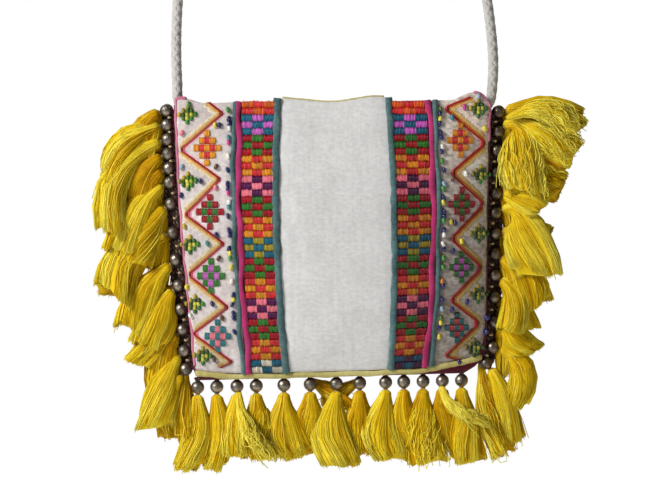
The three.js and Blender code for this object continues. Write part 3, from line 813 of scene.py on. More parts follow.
# Satin-stitch blocks of the check bands, three in a row: colour of the corners and the centre, the other
# colour, and how many rows the group has
CHECK_GROUPS = (
    ("orange", "red", 2), ("blue", "lilac", 3), ("crimson", "green", 3), ("gold", "red", 3),
    ("pink", "purple", 3), ("crimson", "green", 3), ("gold", "red", 3), ("blue", "olive", 3),
    ("crimson", "green", 3), ("red", "gold", 3), ("purple", "pink", 3), ("crimson", "green", 3),
    ("red", "gold", 3),
)
LAST_CHECK_GROUP = {"left": ("blue", "cream", 2), "right": ("blue", "purple", 2)}
CHECK_COLUMNS = 3
CHECK_THREADS = 8
CHECK_RISE = 0.2
CHECK_STITCH_WIDTH = 0.9
CHECK_STITCH_HEIGHT = 1.0
CHECK_OVERLAP = 0.6
CHECK_GAP = 0.15
CHECK_JITTER = 0.05
CHECK_VARIATION = 0.24
CHECK_SIDES = 4
PIPING_COVER = 0.42


def check_place(edges, across, down):
    """Where a stitch starts or ends, between the two rolls that cover the band's sides."""
    share = down * PANEL_FOOT_SHARE
    low = line_x(edges[0], share) + PIPINGS[edges[0]][0] * PIPING_COVER
    high = line_x(edges[1], share) - PIPINGS[edges[1]][0] * PIPING_COVER
    x = low + (high - low) * across
    return x, band_height(x, CHECK_RISE, down)


def build_checks(side):
    edges = sorted((f"rose_piping_{side}", f"inner_piping_{side}"), key=lambda name: LINES[name][0])
    groups = (*CHECK_GROUPS, LAST_CHECK_GROUP[side])
    rows = sum(group[2] for group in groups)
    starts, ends, colours = [], [], []
    row = 0
    for first, second, count in groups:
        for i in range(count):
            for column in range(CHECK_COLUMNS):
                shade = dye(first if (i + column) % 2 == 0 else second)
                for thread in range(CHECK_THREADS):
                    across = (column + (thread + 0.5) / CHECK_THREADS) / CHECK_COLUMNS
                    starts.append(check_place(edges, across, row / rows))
                    ends.append(check_place(edges, across, (row + 1) / rows))
                    colours.append(shade)
            row += 1
    starts, ends = np.array(starts), np.array(ends)
    starts[:, 1] += rng.uniform(-CHECK_GAP, CHECK_OVERLAP, len(starts))
    ends[:, 1] += rng.uniform(-CHECK_OVERLAP, CHECK_GAP, len(ends))
    starts[:, 0] += rng.normal(0, CHECK_JITTER, len(starts))
    colours = varied(np.array(colours), CHECK_VARIATION)
    work = Threadwork()
    sew(work, starts, ends, CHECK_STITCH_WIDTH, CHECK_STITCH_HEIGHT, colours, colours, CHECK_SIDES)
    shade_stitches(work, side)
    work.piece(f"check_stitches_{side}", "silk", "check_embroidery")


# Cords of a zigzag: dye, how far inwards it lies, width and lift
ZIGZAG_CORDS = {
    "left": (("garnet", 0.0, 1.3, 0.4), ("russet", -0.85, 0.6, 0.25), ("blush", 1.1, 0.9, 0.25),
             ("petal", 2.0, 0.6, 0.05)),
    "right": (("ruby", 0.0, 1.3, 0.4), ("russet", -0.85, 0.6, 0.25), ("blush", 0.95, 0.6, 0.3)),
}

# Rows of the fringe beside them: start, length and height of a stitch, dye at its start and at its end
FRINGE_ROWS = {
    "left": ((0.0, 1.4, 0.45, "amber", "sun"), (0.8, 2.6, 0.35, "sun", "cream")),
    "right": ((0.0, 1.3, 0.4, "amber", "ochre"), (0.8, 2.4, 0.25, "ochre", "straw")),
}
ZIGZAG_STEP = 0.5
ZIGZAG_CORD_SIDES = 6
ZIGZAG_VARIATION = 0.2
TURN_POINTS = 9
TURN_LIMIT = 0.45
FRINGE_INSET = 1.35
FRINGE_PITCH = 0.7
FRINGE_MARGIN = 1.3
FRINGE_LENGTHS = (0.75, 1.2)
FRINGE_WIDTH = 0.85
FRINGE_VARIATION = 0.12
FRINGE_SIDES = 4


def rounded_line(turns, rounding, step):
    """Straight runs between the turning points, each turn cut by a curve."""
    turns = np.array(turns, float)
    points = [turns[:1]]
    for before, turn, after in zip(turns[:-2], turns[1:-1], turns[2:]):
        way_in, way_out = before - turn, after - turn
        start = turn + unit(way_in) * min(rounding, TURN_LIMIT * np.linalg.norm(way_in))
        end = turn + unit(way_out) * min(rounding, TURN_LIMIT * np.linalg.norm(way_out))
        t = np.linspace(0, 1, TURN_POINTS)[:, None]
        points.append((1 - t) ** 2 * start + 2 * t * (1 - t) * turn + t ** 2 * end)
    points.append(turns[-1:])
    corners = np.concatenate(points)
    spans = np.concatenate(([0], np.cumsum(np.linalg.norm(np.diff(corners, axis=0), axis=1))))
    even = np.linspace(0, spans[-1], int(spans[-1] / step))
    return np.stack([np.interp(even, spans, column) for column in corners.T], axis=-1)


def lay_cord(work, line, width, colours, lift):
    """A cord couched on the front along an (x, z) line."""
    points, normals = front_place(line[:, 0], line[:, 1], lift)
    wide, deep = thread_frame(points[None], normals[None])
    work.tubes(points[None], wide * width / 2, deep * width / 2, ZIGZAG_CORD_SIDES, colours)


def sew_zigzag(work, side):
    """Couched cords, with a shaded fringe of long and short stitches on their outer side."""
    turns, rounding = ZIGZAGS[side]
    inward = np.array((1.0 if side == "left" else -1.0, 0.0))
    line = rounded_line(turns, rounding, ZIGZAG_STEP)
    for shade, place, width, lift in ZIGZAG_CORDS[side]:
        tone = varied(np.tile(dye(shade), (len(line), 1)), ZIGZAG_VARIATION)
        lay_cord(work, line + place * inward, width, tone[None], CLOTH_TOP + lift)
    fringe = rounded_line(turns, rounding, FRINGE_PITCH)
    course = unit(np.gradient(fringe, axis=0))
    away = np.stack((course[:, 1], -course[:, 0]), axis=-1)
    away *= np.where(away[:, :1] * inward[0] > 0, -1, 1)
    bend = np.linalg.norm(np.gradient(course, axis=0), axis=1)
    for start, length, height, *shades in FRINGE_ROWS[side]:
        reach = length * rng.uniform(*FRINGE_LENGTHS, len(fringe)) / (1 + bend)
        starts = fringe - FRINGE_INSET * inward + away * start
        ends = starts + away * reach[:, None]
        edge = line_x(f"{side}_edge", share_at(ends[:, 0], ends[:, 1]))
        on_band = np.abs(ends[:, 0]) < np.abs(edge) - FRINGE_MARGIN
        tones = [varied(np.tile(dye(shade), (len(starts), 1)), FRINGE_VARIATION) for shade in shades]
        near, far = (tone[on_band] for tone in tones)
        sew(work, starts[on_band], ends[on_band], FRINGE_WIDTH, height, near, far, FRINGE_SIDES)


# Cells of a stepped lozenge: column, row and ring
LOZENGE = [(column, row, abs(column) + abs(row)) for column in range(-2, 3) for row in range(-2, 3)
           if abs(column) + abs(row) <= 2]

# Stepped diamonds: x, z, size, colour of the outline and the centre, and colour between them
DIAMONDS = {
    "left": ((-77.4, -260.6, 1.0, "gold", "red"), (-75.6, -298.7, 1.0, "crimson", "green"),
             (-74.9, -336.8, 1.0, "green", "lilac"), (-71.2, -372.8, 0.94, "teal", "pink")),
    "right": ((72.8, -256.1, 0.98, "gold", "red"), (73.5, -294.2, 0.96, "crimson", "green"),
              (73.3, -331.6, 0.88, "green", "lilac"), (70.9, -367.6, 0.86, "teal", "red")),
}
DIAMOND_CELL = (3.2, 4.25)
DIAMOND_THREADS = 4
DIAMOND_FILL = 0.46
DIAMOND_JITTER = 0.12
DIAMOND_VARIATION = 0.12
DIAMOND_STITCH_WIDTH = 0.95
DIAMOND_STITCH_HEIGHT = 1.1

# Leaf clusters by their middle (x, z), and the dyes of their rings from the middle out
CLUSTERS = {
    "left": ((-89.1, -240.8), (-88.7, -280.4), (-87.1, -318.2), (-84.3, -353.6), (-80.1, -384.6)),
    "right": ((83.7, -237.2), (84.7, -276.2), (83.7, -311.6), (83.3, -347.6), (81.5, -379.6)),
}
LEAF_DYES = (("lime",), ("olive", "lime", "leaf"), ("leaf", "olive", "green"))
LEAF_CELL = (2.3, 2.2)
LEAF_REACH = 0.5
LEAF_WIDTH = 2.4
LEAF_HEIGHT = 0.9
LEAF_JITTER = 0.2
LEAF_VARIATION = 0.25


def sew_diamonds(work, side):
    """Upright stitches, cell by cell."""
    starts, ends, colours = [], [], []
    for x, z, size, outline, between in DIAMONDS[side]:
        cell_width, cell_height = size * DIAMOND_CELL[0], size * DIAMOND_CELL[1]
        for column, row, ring in LOZENGE:
            middle = z + cell_height * row
            for thread in range(DIAMOND_THREADS):
                at = x + cell_width * (column + (thread + 0.5) / DIAMOND_THREADS - 0.5)
                starts.append((at, middle + cell_height * DIAMOND_FILL))
                ends.append((at, middle - cell_height * DIAMOND_FILL))
                colours.append(dye(between if ring == 1 else outline))
    starts, ends = np.array(starts), np.array(ends)
    starts += rng.uniform(-DIAMOND_JITTER, DIAMOND_JITTER, starts.shape)
    ends += rng.uniform(-DIAMOND_JITTER, DIAMOND_JITTER, ends.shape)
    colours = varied(np.array(colours), DIAMOND_VARIATION)
    sew(work, starts, ends, DIAMOND_STITCH_WIDTH, DIAMOND_STITCH_HEIGHT, colours, colours)


def sew_clusters(work, side):
    """Plump stitches in a little lozenge, green with a yellow middle."""
    starts, ends, colours = [], [], []
    for x, z in CLUSTERS[side]:
        for column, row, ring in LOZENGE:
            at = np.array((x + column * LEAF_CELL[0], z + row * LEAF_CELL[1]))
            starts.append(at + (0.0, LEAF_CELL[1] * LEAF_REACH))
            ends.append(at - (0.0, LEAF_CELL[1] * LEAF_REACH))
            shades = LEAF_DYES[ring]
            colours.append(dye(shades[(column + 2 * row) % len(shades)]))
    starts, ends = np.array(starts), np.array(ends)
    starts += rng.normal(0, LEAF_JITTER, starts.shape)
    colours = varied(np.array(colours), LEAF_VARIATION)
    sew(work, starts, ends, LEAF_WIDTH, LEAF_HEIGHT, colours, colours)


# Seed beads beside the outer seam, from the top at an even pitch, and loose ones (x, z, colour)
SEED_COLUMNS = {
    "left": "green - navy navy white - teal magenta - - cream - - navy - - navy navy magenta - white teal "
            "- navy - - navy navy - - navy yellow green - yellow - - cream - - navy yellow navy - navy navy "
            "- - navy",
    "right": "leaf navy yellow navy - navy navy - white navy - green - navy - - sky green - navy yellow - "
             "navy navy green - navy white - white navy - green - green - - amber navy - - navy - sky - "
             "leaf yellow navy - yellow",
}
LOOSE_SEEDS = {
    "left": (
        (-72.5, -247.4, "yellow"), (-69.9, -247.4, "navy"), (-71.9, -271.6, "brown"), (-92, -272, "sky"),
        (-81.2, -280.3, "navy"), (-92, -288.8, "navy"), (-72.0, -284.6, "pink"), (-71.4, -312, "navy"),
        (-77.2, -317.6, "teal"), (-90.2, -307.5, "olive"), (-70.2, -326.4, "brown"),
        (-88.5, -343.6, "yellow"), (-74.4, -353.6, "navy"), (-68.4, -362, "brown"),
        (-86.5, -360.5, "white"), (-73.5, -386.6, "brown"), (-88.4, -234.8, "green"), (-92.3, -251.5, "pink"),
    ),
    "right": (
        (67.8, -243, "blue"), (75.5, -236.6, "magenta"), (68.2, -279.2, "brown"), (67.2, -304.6, "olive"),
        (69.6, -305, "navy"), (76, -276, "white"), (68.4, -322, "navy"), (73.6, -316, "yellow"),
        (67.8, -357, "navy"), (77, -352, "navy"), (88, -362, "navy"), (73, -388.2, "navy"),
        (87, -249, "yellow"), (84, -229.6, "sky"), (87.5, -370.5, "navy"),
    ),
}
SEED_WIDTH = 3.7
SEED_PITCH = 2.75
SEED_START = 5.0
SEED_BESIDE = 1.3
SEED_SCATTER = 0.3
SEED_LIFT = 0.7
SEED_LEAN = 0.5

# Section of a seed bead of width 1: its radius, and how far its middle lies from the thread
SEED_SECTION = 0.3
SEED_SECTION_PLACE = 0.25
SEED_SECTION_SIDES = 7
SEED_STEPS = 9
SEED_MERGE = 1e-5


def seed_bead():
    """A tiny bead of glass with a dimple at each end, its thread along X."""
    shape = bmesh.new()
    made = bmesh.ops.create_circle(shape, segments=SEED_SECTION_SIDES, radius=SEED_SECTION)
    bmesh.ops.translate(shape, verts=made["verts"], vec=(SEED_SECTION_PLACE, 0, 0))
    bmesh.ops.rotate(shape, verts=made["verts"], matrix=Matrix.Rotation(math.pi / 2, 3, "X"))
    spin_outline(shape, SEED_STEPS, SEED_MERGE)
    bmesh.ops.rotate(shape, verts=shape.verts, matrix=Matrix.Rotation(math.pi / 2, 3, "Y"))
    return template_of(shape)


def place_seeds(work, template, x, z, shades):
    points, normals = front_place(x, z, CLOTH_TOP + SEED_LIFT)
    lean = rng.uniform(-SEED_LEAN, SEED_LEAN, len(points))
    along = unit(np.stack((np.cos(lean), np.zeros(len(lean)), np.sin(lean)), axis=-1))
    along = unit(along - normals * np.sum(along * normals, axis=-1, keepdims=True))
    axes = np.stack((along, np.cross(normals, along), normals), axis=1)
    work.copies(template, points, axes * SEED_WIDTH, np.array([dye(shade) for shade in shades]))


def build_seeds(side):
    inward = 1 if side == "left" else -1
    work, template = Threadwork(), seed_bead()
    codes = SEED_COLUMNS[side].split()
    z = RIM_Z - SEED_START - SEED_PITCH * np.arange(len(codes))
    piping = f"outer_piping_{side}"
    beside = PIPINGS[piping][0] / 2 + SEED_BESIDE
    x = line_x(piping, share_at(0, z)) - inward * beside + rng.normal(0, SEED_SCATTER, len(codes))
    sewn = np.array([code != "-" for code in codes])
    place_seeds(work, template, x[sewn], z[sewn], [code for code in codes if code != "-"])
    loose = LOOSE_SEEDS[side]
    x, z = np.array([row[:2] for row in loose], float).T
    place_seeds(work, template, x, z, [row[2] for row in loose])
    work.piece(f"seed_beads_{side}", "glass", "seed_beads")


def build_zigzag(side):
    work = Threadwork()
    sew_zigzag(work, side)
    sew_diamonds(work, side)
    sew_clusters(work, side)
    shade_stitches(work, side)
    work.piece(f"zigzag_stitches_{side}", "silk", "zigzag_embroidery")


# Rolls of cloth on the seams, the hem and the edges: their lumps ring by ring, long ones and quick ones,
# both uneven, and how flat they lie
ROLL_SIDES = 12
ROLL_SOLE = -0.45
LUMP = 0.07
LUMP_LENGTH = 1.9
LUMP_DRIFT = 7.3
QUICK_LUMP = 0.05
QUICK_LUMP_PACE = 1.3
QUICK_LUMP_DRIFT = 3.7
UNEVENNESS = 2.0

PIPING_RINGS = 110
PIPING_SEAT = 0.4
PIPING_FULLNESS = 1.15
PIPING_PACE = 19.0
PIPING_QUICK_PACE = 41.0
PIPING_QUICK_WANDER = 0.6

HEM_RINGS = 130
HEM_SEAT = 0.45
HEM_FULLNESS = 1.1
HEM_WAVER = 0.25
HEM_WAVER_LENGTH = 4.3

MOUTH_EDGE_SPAN = (0.045, 0.955)
MOUTH_EDGE_RINGS = 60
MOUTH_EDGE_RISE = 0.35
MOUTH_EDGE_WIDTH = 1.1
MOUTH_EDGE_HEIGHT = 1.5


def roll_mesh(name, line, outward, width, height, sides=ROLL_SIDES):
    """A soft roll along a line of points, flat on the cloth under it."""
    mesh = unit_tube(name, sides, len(line))
    corners = corners_of(mesh)
    ring = np.rint((0.5 - corners[:, 2]) * (len(line) - 1)).astype(int)
    wide, deep = thread_frame(line[None], outward[None])
    slow = LUMP * np.sin(ring / LUMP_LENGTH + UNEVENNESS * np.sin(ring / LUMP_DRIFT))
    quick = QUICK_LUMP * np.sin(ring * QUICK_LUMP_PACE + UNEVENNESS * np.sin(ring / QUICK_LUMP_DRIFT))
    lumps = 1 + slow + quick
    aside = corners[:, :1] * wide[0][ring] * (width / 2 * lumps)[:, None]
    up = np.maximum(corners[:, 1:2], ROLL_SOLE) * deep[0][ring] * (height / 2 * lumps)[:, None]
    metres(mesh, line[ring] + aside + up)
    shape = bmesh.new()
    shape.from_mesh(mesh)
    bmesh.ops.recalc_face_normals(shape, faces=shape.faces)
    shape.to_mesh(mesh)
    shape.free()
    return mesh


def build_piping(name):
    width, rise, wander, cloth = PIPINGS[name]
    down = np.linspace(0, 1, PIPING_RINGS)
    phase = rng.uniform(0, 6)
    quick = PIPING_QUICK_WANDER * np.sin(down * PIPING_QUICK_PACE + 2 * phase)
    sway = wander * (np.sin(down * PIPING_PACE + phase) + quick)
    x = line_x(name, down * PANEL_FOOT_SHARE) + sway
    line, outward = front_place(x, band_height(x, rise, down), CLOTH_TOP + PIPING_HEIGHT * PIPING_SEAT)
    mesh = roll_mesh(f"{name}_roll", line, outward, width, PIPING_HEIGHT * PIPING_FULLNESS)
    add_piece(f"{name}_roll", mesh, cloth, f"{cloth}_cloth", name)


def build_hem():
    start = line_x("left_edge", PANEL_FOOT_SHARE)
    end_x = HEM_LINE[-1, 0]
    end = line_x("right_edge", share_at(end_x, hem_height(end_x)))
    x = np.linspace(start, end, HEM_RINGS)
    z = hem_height(x) + HEM_WAVER * np.sin(x / HEM_WAVER_LENGTH)
    line, outward = front_place(x, z, SEAT_GAP + HEM_HEIGHT * HEM_SEAT)
    mesh = roll_mesh("hem_roll", line, outward, HEM_WIDTH * HEM_FULLNESS, HEM_HEIGHT)
    add_piece("hem_roll", mesh, "yellow", "yellow_cloth", "hem_piping")


def build_mouth_edge():
    across = np.linspace(*MOUTH_EDGE_SPAN, MOUTH_EDGE_RINGS)
    x = band_line("centre_panel", 0, across)
    z = RIM_Z + band_top("centre_panel", across) + MOUTH_EDGE_RISE
    line, outward = front_place(x, z, BAND_LIFT + PANEL_THICKNESS / 2)
    mesh = roll_mesh("mouth_edge_roll", line, outward, MOUTH_EDGE_WIDTH, MOUTH_EDGE_HEIGHT)
    add_piece("mouth_edge_roll", mesh, "yellow", "yellow_cloth", "mouth_binding")


# Where the folded pink edge of an outer band starts across its top, the side it turns down, and how far
# down it shows
PINK_EDGES = {"left": (0.17, 0.0, 0.985), "right": (0.74, 1.0, 0.15)}
PINK_TOP_POINTS = 16
PINK_SIDE_POINTS = 70
PINK_SIDE_START = 0.02
PINK_STEP = 1.5
PINK_WAVER = 0.2
PINK_WAVER_PACE = 60.0
PINK_SINK = 0.2
PINK_WIDTH = 1.8
PINK_HEIGHT = 1.6
PINK_SIDES = 10


def build_band_edge(side):
    """Folded pink edge from the top of the outer band round its corner and down the side."""
    band = f"zigzag_band_{side}"
    first, outer, last = PINK_EDGES[side]
    across = np.linspace(first, outer, PINK_TOP_POINTS)
    down = np.linspace(PINK_SIDE_START, last, int(PINK_SIDE_POINTS * last))
    side_x = line_x(f"{side}_edge", down * PANEL_FOOT_SHARE) + PINK_WAVER * np.sin(down * PINK_WAVER_PACE)
    x = np.concatenate((band_line(band, 0, across), side_x))
    z = np.concatenate((RIM_Z + band_top(band, across), band_height(side_x, band_top(band, outer), down)))
    route = smooth_route(np.stack((x, z), axis=-1), PINK_STEP)
    line, outward = front_place(route[:, 0], route[:, 1], CLOTH_TOP - PINK_SINK)
    mesh = roll_mesh(f"band_edge_{side}", line, outward, PINK_WIDTH, PINK_HEIGHT, PINK_SIDES)
    add_piece(f"band_edge_{side}", mesh, "pink", "rose_cloth")


# Metal beads with a seam round the middle, a collar at each end and a bore: the collar's outline as radius
# and height, the ball's as angles above the seam, and how far the seam is pressed in
BEAD_COLLAR = ((0.85, 3.5), (1.0, 3.98), (1.5, 3.92), (1.62, 3.62))
BEAD_ARC = np.radians((64, 50, 36, 22, 10, 4))
BEAD_SEAM = 0.965
BEAD_STEPS = 20
BEAD_MERGE = 1e-4


def bead_shape():
    """Closed outline of radius and height, spun round the thread."""
    radius = BEAD_DIAMETER / 2
    upper = [*BEAD_COLLAR, *((radius * math.cos(a), radius * math.sin(a)) for a in BEAD_ARC)]
    lower = [(r, -h) for r, h in reversed(upper)]
    outline = upper + [(radius * BEAD_SEAM, 0.0)] + lower
    shape = bmesh.new()
    ring = [shape.verts.new((r, 0, h)) for r, h in outline]
    for one, other in zip(ring, ring[1:] + ring[:1]):
        shape.edges.new((one, other))
    spin_outline(shape, BEAD_STEPS, BEAD_MERGE)
    return shape


def bead_centre(node):
    low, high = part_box(node)
    return np.array((low + high) / 2) / MM


def leave_direction(side, dip):
    """Way that a tassel leaves its bead, dip degrees below level."""
    slope = math.radians(dip)
    return np.array((side * math.cos(slope), 0.0, -math.sin(slope)))


def build_bead(node, leave):
    mesh = to_mesh(bead_shape(), f"{node}_ball")
    turn = rng.uniform(0, 2 * np.pi)
    aside = unit(np.cross(BACK, leave))
    first = aside * math.cos(turn) + BACK * math.sin(turn)
    axes = np.stack((first, np.cross(leave, first), leave))
    metres(mesh, bead_centre(node) + corners_of(mesh) @ axes)
    # The beads of the right side take the darker copy of the metal: painted shade
    metal = "shaded_metal" if node.startswith("bead_right") else "metal"
    add_piece(f"{node}_ball", mesh, metal, "bead_metal", node)


# Tassels: a bundle in the CAD form with a groove between its locks, and single threads that lie on it
LINK_LENGTH = 0.7
LINE_POINTS = 33
LINE_RUN_ON = 4
COURSE_STEP = 0.02

# Colour of the cotton by how light it is
TASSEL_SHADES = np.array((
    (0.0, 0.30, 0.115, 0.0005), (0.3, 0.52, 0.25, 0.001), (0.55, 0.74, 0.46, 0.003),
    (0.8, 0.90, 0.68, 0.02), (1.0, 0.96, 0.82, 0.10),
))

# The bundle and its locks: how many there are, how they sway, end and differ in tone, and the painted shade
# that darkens bundles further back, the grooves between the locks and the head
BUNDLE_SIDES = 48
BUNDLE_SHARES = np.concatenate((np.linspace(0, 0.13, 6), np.linspace(0.2, 1, 12)))
BUNDLE_REACH = 0.965
BUNDLE_UNEVENNESS = 0.012
BUNDLE_DARKENING = 0.2
BUNDLE_TWIST = 1.1
LOCK_COUNTS = (5, 8)
LOCK_GROOVE = 0.34
LOCK_SWAY = 2.8
LOCK_SWAY_PACE = 4.0
LOCK_LENGTHS = (0.95, 1.04)
LOCK_SCALLOP = 0.06
LOOSE_FROM = 0.2
EDGE_CUT = 0.09
TONE_MIDDLE = 0.55
# Painted shade: a bundle further back is darker
DEPTH_SHADE = 0.022
TONE_RANGE = (0.36, 0.84)
TONE_SPREAD = 0.16
TIP_LIGHTENING = 0.3
# Painted shade in the grooves between the locks
GROOVE_SHADE = 0.45

# The threads on a bundle, and the few that stray from it
STRANDS = 205
FRAYED_STRANDS = 110
TUFT_STRANDS = 90
STRAND_SHARES = np.array((0.0, 0.04, 0.11, 0.24, 0.42, 0.62, 0.82, 1.0))
STRAND_SIDES = 3
STRAND_WIDTH = 0.44
STRAND_WIDTHS = (0.75, 1.2)
STRAND_REACH = (0.965, 1.015)
STRAND_ENDS = 0.014
STRAND_FLIGHT = 0.7
STRAND_TONES = 0.18
STRAY_STRANDS = 9
STRAY_WIDTH = 0.6
STRAY_ENDS = (0.7, 1.06)
STRAY_FLIGHT = 2.0
STRAY_CURL_FLIGHT = 2.4
STRAY_TONE = 0.5
RIPPLE = (0.1, 0.35)
RIPPLE_CURL = (0.1, 1)
RIPPLE_PACE = (7, 11)
RIPPLE_CURL_PACE = 3.0
RIPPLE_SCATTER = 1.2
LOOP_PACE = 7.0
LOOP_SIZE = 1.2

# Threads that have come loose from the cut end of the curliest tassels
FRAYED_FROM = 1.8
FRAYED_THREADS = 44
FRAYED_RINGS = 26
FRAYED_START = 0.3
FRAYED_EASE = 0.3
FRAYED_WIDTH = 0.62
FRAYED_TURNS = (-0.25, 1.25)
FRAYED_ENDS = (0.72, 1.04)
FRAYED_REACH = (0.98, 1.06)
FRAYED_RADIUS = (0.25, 0.75)
FRAYED_PACE = (16, 30)
FRAYED_DRIFT = 2.2
FRAYED_SQUASH = 0.8
FRAYED_TONES = 0.35

# Tassels whose threads curl, and how much
CURLY_TASSELS = {
    "right_02": 2.4, "right_03": 2.0, "right_04": 1.4, "right_06": 0.5,
    "left_02": 0.5, "left_03": 0.8, "left_08": 0.6,
    "bottom_03": 1.2, "bottom_04": 1.8, "bottom_05": 0.8, "bottom_06": 0.8, "bottom_07": 0.6,
    "bottom_08": 1.6, "bottom_09": 1.2, "bottom_10": 1.4, "bottom_11": 2.4, "bottom_12": 1.2,
    "bottom_13": 0.8,
}

# Loose tufts: route, width, how far to the front it counts for its painted depth shade, and curl; SHADED
# paints a tuft deep gold as if it hung in the shade behind the others
SHADED = -8.0
TUFT_ROOT = 4.0
TUFT_STEP = 0.8
TUFTS = {
    "left": (
        (((-91, 3, -391), (-93, 3, -404), (-92, 2, -420), (-89, 2, -437)), 15, -3, 1.2),
    ),
    "right": (
        (((101, -9, -243), (116, -11, -238), (133, -9, -241), (146, -7, -250)), 13, 13, 2.4),
        (((104, -4, -243), (117, -5, -248), (130, -4, -256), (140, -3, -266)), 14, 6, 2.0),
    ),
    "bottom": (
        (((-17, 4, -400), (-10, 6, -404), (0, 6, -410), (8, 5, -418)), 11, SHADED, 1.2),
        (((14, 4, -400), (8, 5, -404), (-1, 7, -410), (-9, 6, -418)), 10, SHADED, 1.2),
        (((-60, 0, -406), (-57, -6, -420), (-50, -10, -434), (-36, -8, -447)), 6, 10, 3.0),
        (((62, 0, -403), (66, -8, -412), (76, -11, -419), (91, -9, -424)), 5, 12, 2.2),
        (((86, 3, -389), (88, 1, -404), (94, -1, -426), (102, -1, -446)), 15, -2, 1.8),
    ),
}


def tassel_line(bead, side, tassel):
    out, fall, front, _, dip = tassel[:5]
    leave = leave_direction(side, dip)
    head = bead + leave * (BEAD_DIAMETER / 2 + LINK_LENGTH)
    tip = bead + np.array((side * out, -front, -fall))
    bend = head + leave * TASSEL_BEND * np.linalg.norm(head - tip)
    t = np.linspace(0, 1, LINE_POINTS)[:, None]
    curve = (1 - t) ** 2 * head + 2 * t * (1 - t) * bend + t ** 2 * tip
    return np.concatenate((curve, curve[-1:] + (curve[-1:] - curve[-2:-1]) * LINE_RUN_ON))


def along_line(curve, shares):
    """Points at shares of a line's length, where the last point but one ends the length."""
    spans = np.concatenate(([0], np.cumsum(np.linalg.norm(np.diff(curve, axis=0), axis=1))))
    places = spans / spans[-2]
    return np.stack([np.interp(shares, places, column) for column in curve.T], axis=-1)


def tassel_shade(light):
    """Yellow cotton by how light it is painted, from deep gold in painted shade to lemon at the light end."""
    lights, *shades = TASSEL_SHADES.T
    return np.stack([np.interp(light, lights, shade) for shade in shades], axis=-1)


def loose_share(shares):
    """How far a lock hangs free: not at all by the head, wholly at the end."""
    return np.clip((shares - LOOSE_FROM) / (1 - LOOSE_FROM), 0, 1)


def groove_depth(part):
    """Depth across a lock: 1 in the grooves at its sides, 0 on its middle."""
    return 1 - np.sqrt(np.sin(np.pi * part))


class Bundle:
    """The outer form of one tassel: rounded locks that sway apart towards their ends."""

    def __init__(self, curve, width, front, bow=0.0, turn_back=0.0, head=TASSEL_HEAD_DIAMETER):
        self.curve, self.width, self.head, self.bow, self.turn_back = curve, width, head, bow, turn_back
        self.locks = int(rng.integers(*LOCK_COUNTS))
        self.phase = rng.uniform(0, 2 * np.pi)
        self.sway = rng.uniform(-LOCK_SWAY, LOCK_SWAY, (self.locks, 2))
        self.beat = rng.uniform(0, 2 * np.pi, self.locks)
        self.length = rng.uniform(*LOCK_LENGTHS, self.locks)
        # Painted shade: bundles further back are darker
        tone = np.clip(TONE_MIDDLE + DEPTH_SHADE * front, *TONE_RANGE)
        self.tone = tone + rng.uniform(-TONE_SPREAD, TONE_SPREAD, self.locks)
        self.twist = rng.uniform(-BUNDLE_TWIST, BUNDLE_TWIST)

    def lock_at(self, turn):
        """Number of the lock at each turn round the bundle, and the place across it."""
        place = self.locks * (turn - self.phase) / (2 * np.pi)
        return np.floor(place).astype(int) % self.locks, place - np.floor(place)

    def ends(self, turn):
        """Share of the length where the cotton is cut, shorter between the locks and at the two sides."""
        lock, part = self.lock_at(turn)
        scallop = LOCK_SCALLOP * groove_depth(part)
        return self.length[lock] - scallop - EDGE_CUT * np.abs(np.cos(turn)) ** 3

    def tint(self, turn, shares, change):
        """Deep gold from painted shade at the head, in the grooves and further back; yellow on the locks and
        lemon at their ends.
        """
        lock, part = (value[:, None] for value in self.lock_at(turn))
        loose = loose_share(shares)
        groove = loose * groove_depth(part)
        return tassel_shade(self.tone[lock] + TIP_LIGHTENING * loose - GROOVE_SHADE * groove + change)

    def places(self, turn, shares, reach):
        """Points and outward directions at turns (n) and shares of the length (n, k)."""
        lock, part = (value[:, None] for value in self.lock_at(turn))
        centres = along_line(self.curve, shares)
        before = along_line(self.curve, np.maximum(shares - COURSE_STEP, 0))
        after = along_line(self.curve, shares + COURSE_STEP)
        across = unit(np.cross(BACK, unit(after - before)))
        head = HEAD_MIX(shares) * self.head / 2
        skirt = SKIRT_MIX(shares)
        loose = loose_share(shares)
        hollow = 1 - LOCK_GROOVE * loose * groove_depth(part)
        angle = turn[:, None] + self.twist * loose
        wave = np.sin(LOCK_SWAY_PACE * shares + self.beat[lock]) * loose
        bend = self.bow * np.sin(np.pi * np.minimum(shares, 1)) ** 1.5 - self.turn_back * loose ** 3
        wide = np.cos(angle) * (head + skirt * self.width / 2) * hollow * reach
        deep = np.sin(angle) * (head + skirt * SKIRT_DEPTH / 2) * hollow * reach
        aside = wide + self.sway[lock, 0] * wave + bend
        depth = deep + self.sway[lock, 1] * wave
        points = centres + across * aside[..., None] + BACK * depth[..., None]
        return points, across * np.cos(angle)[..., None] + BACK * np.sin(angle)[..., None]


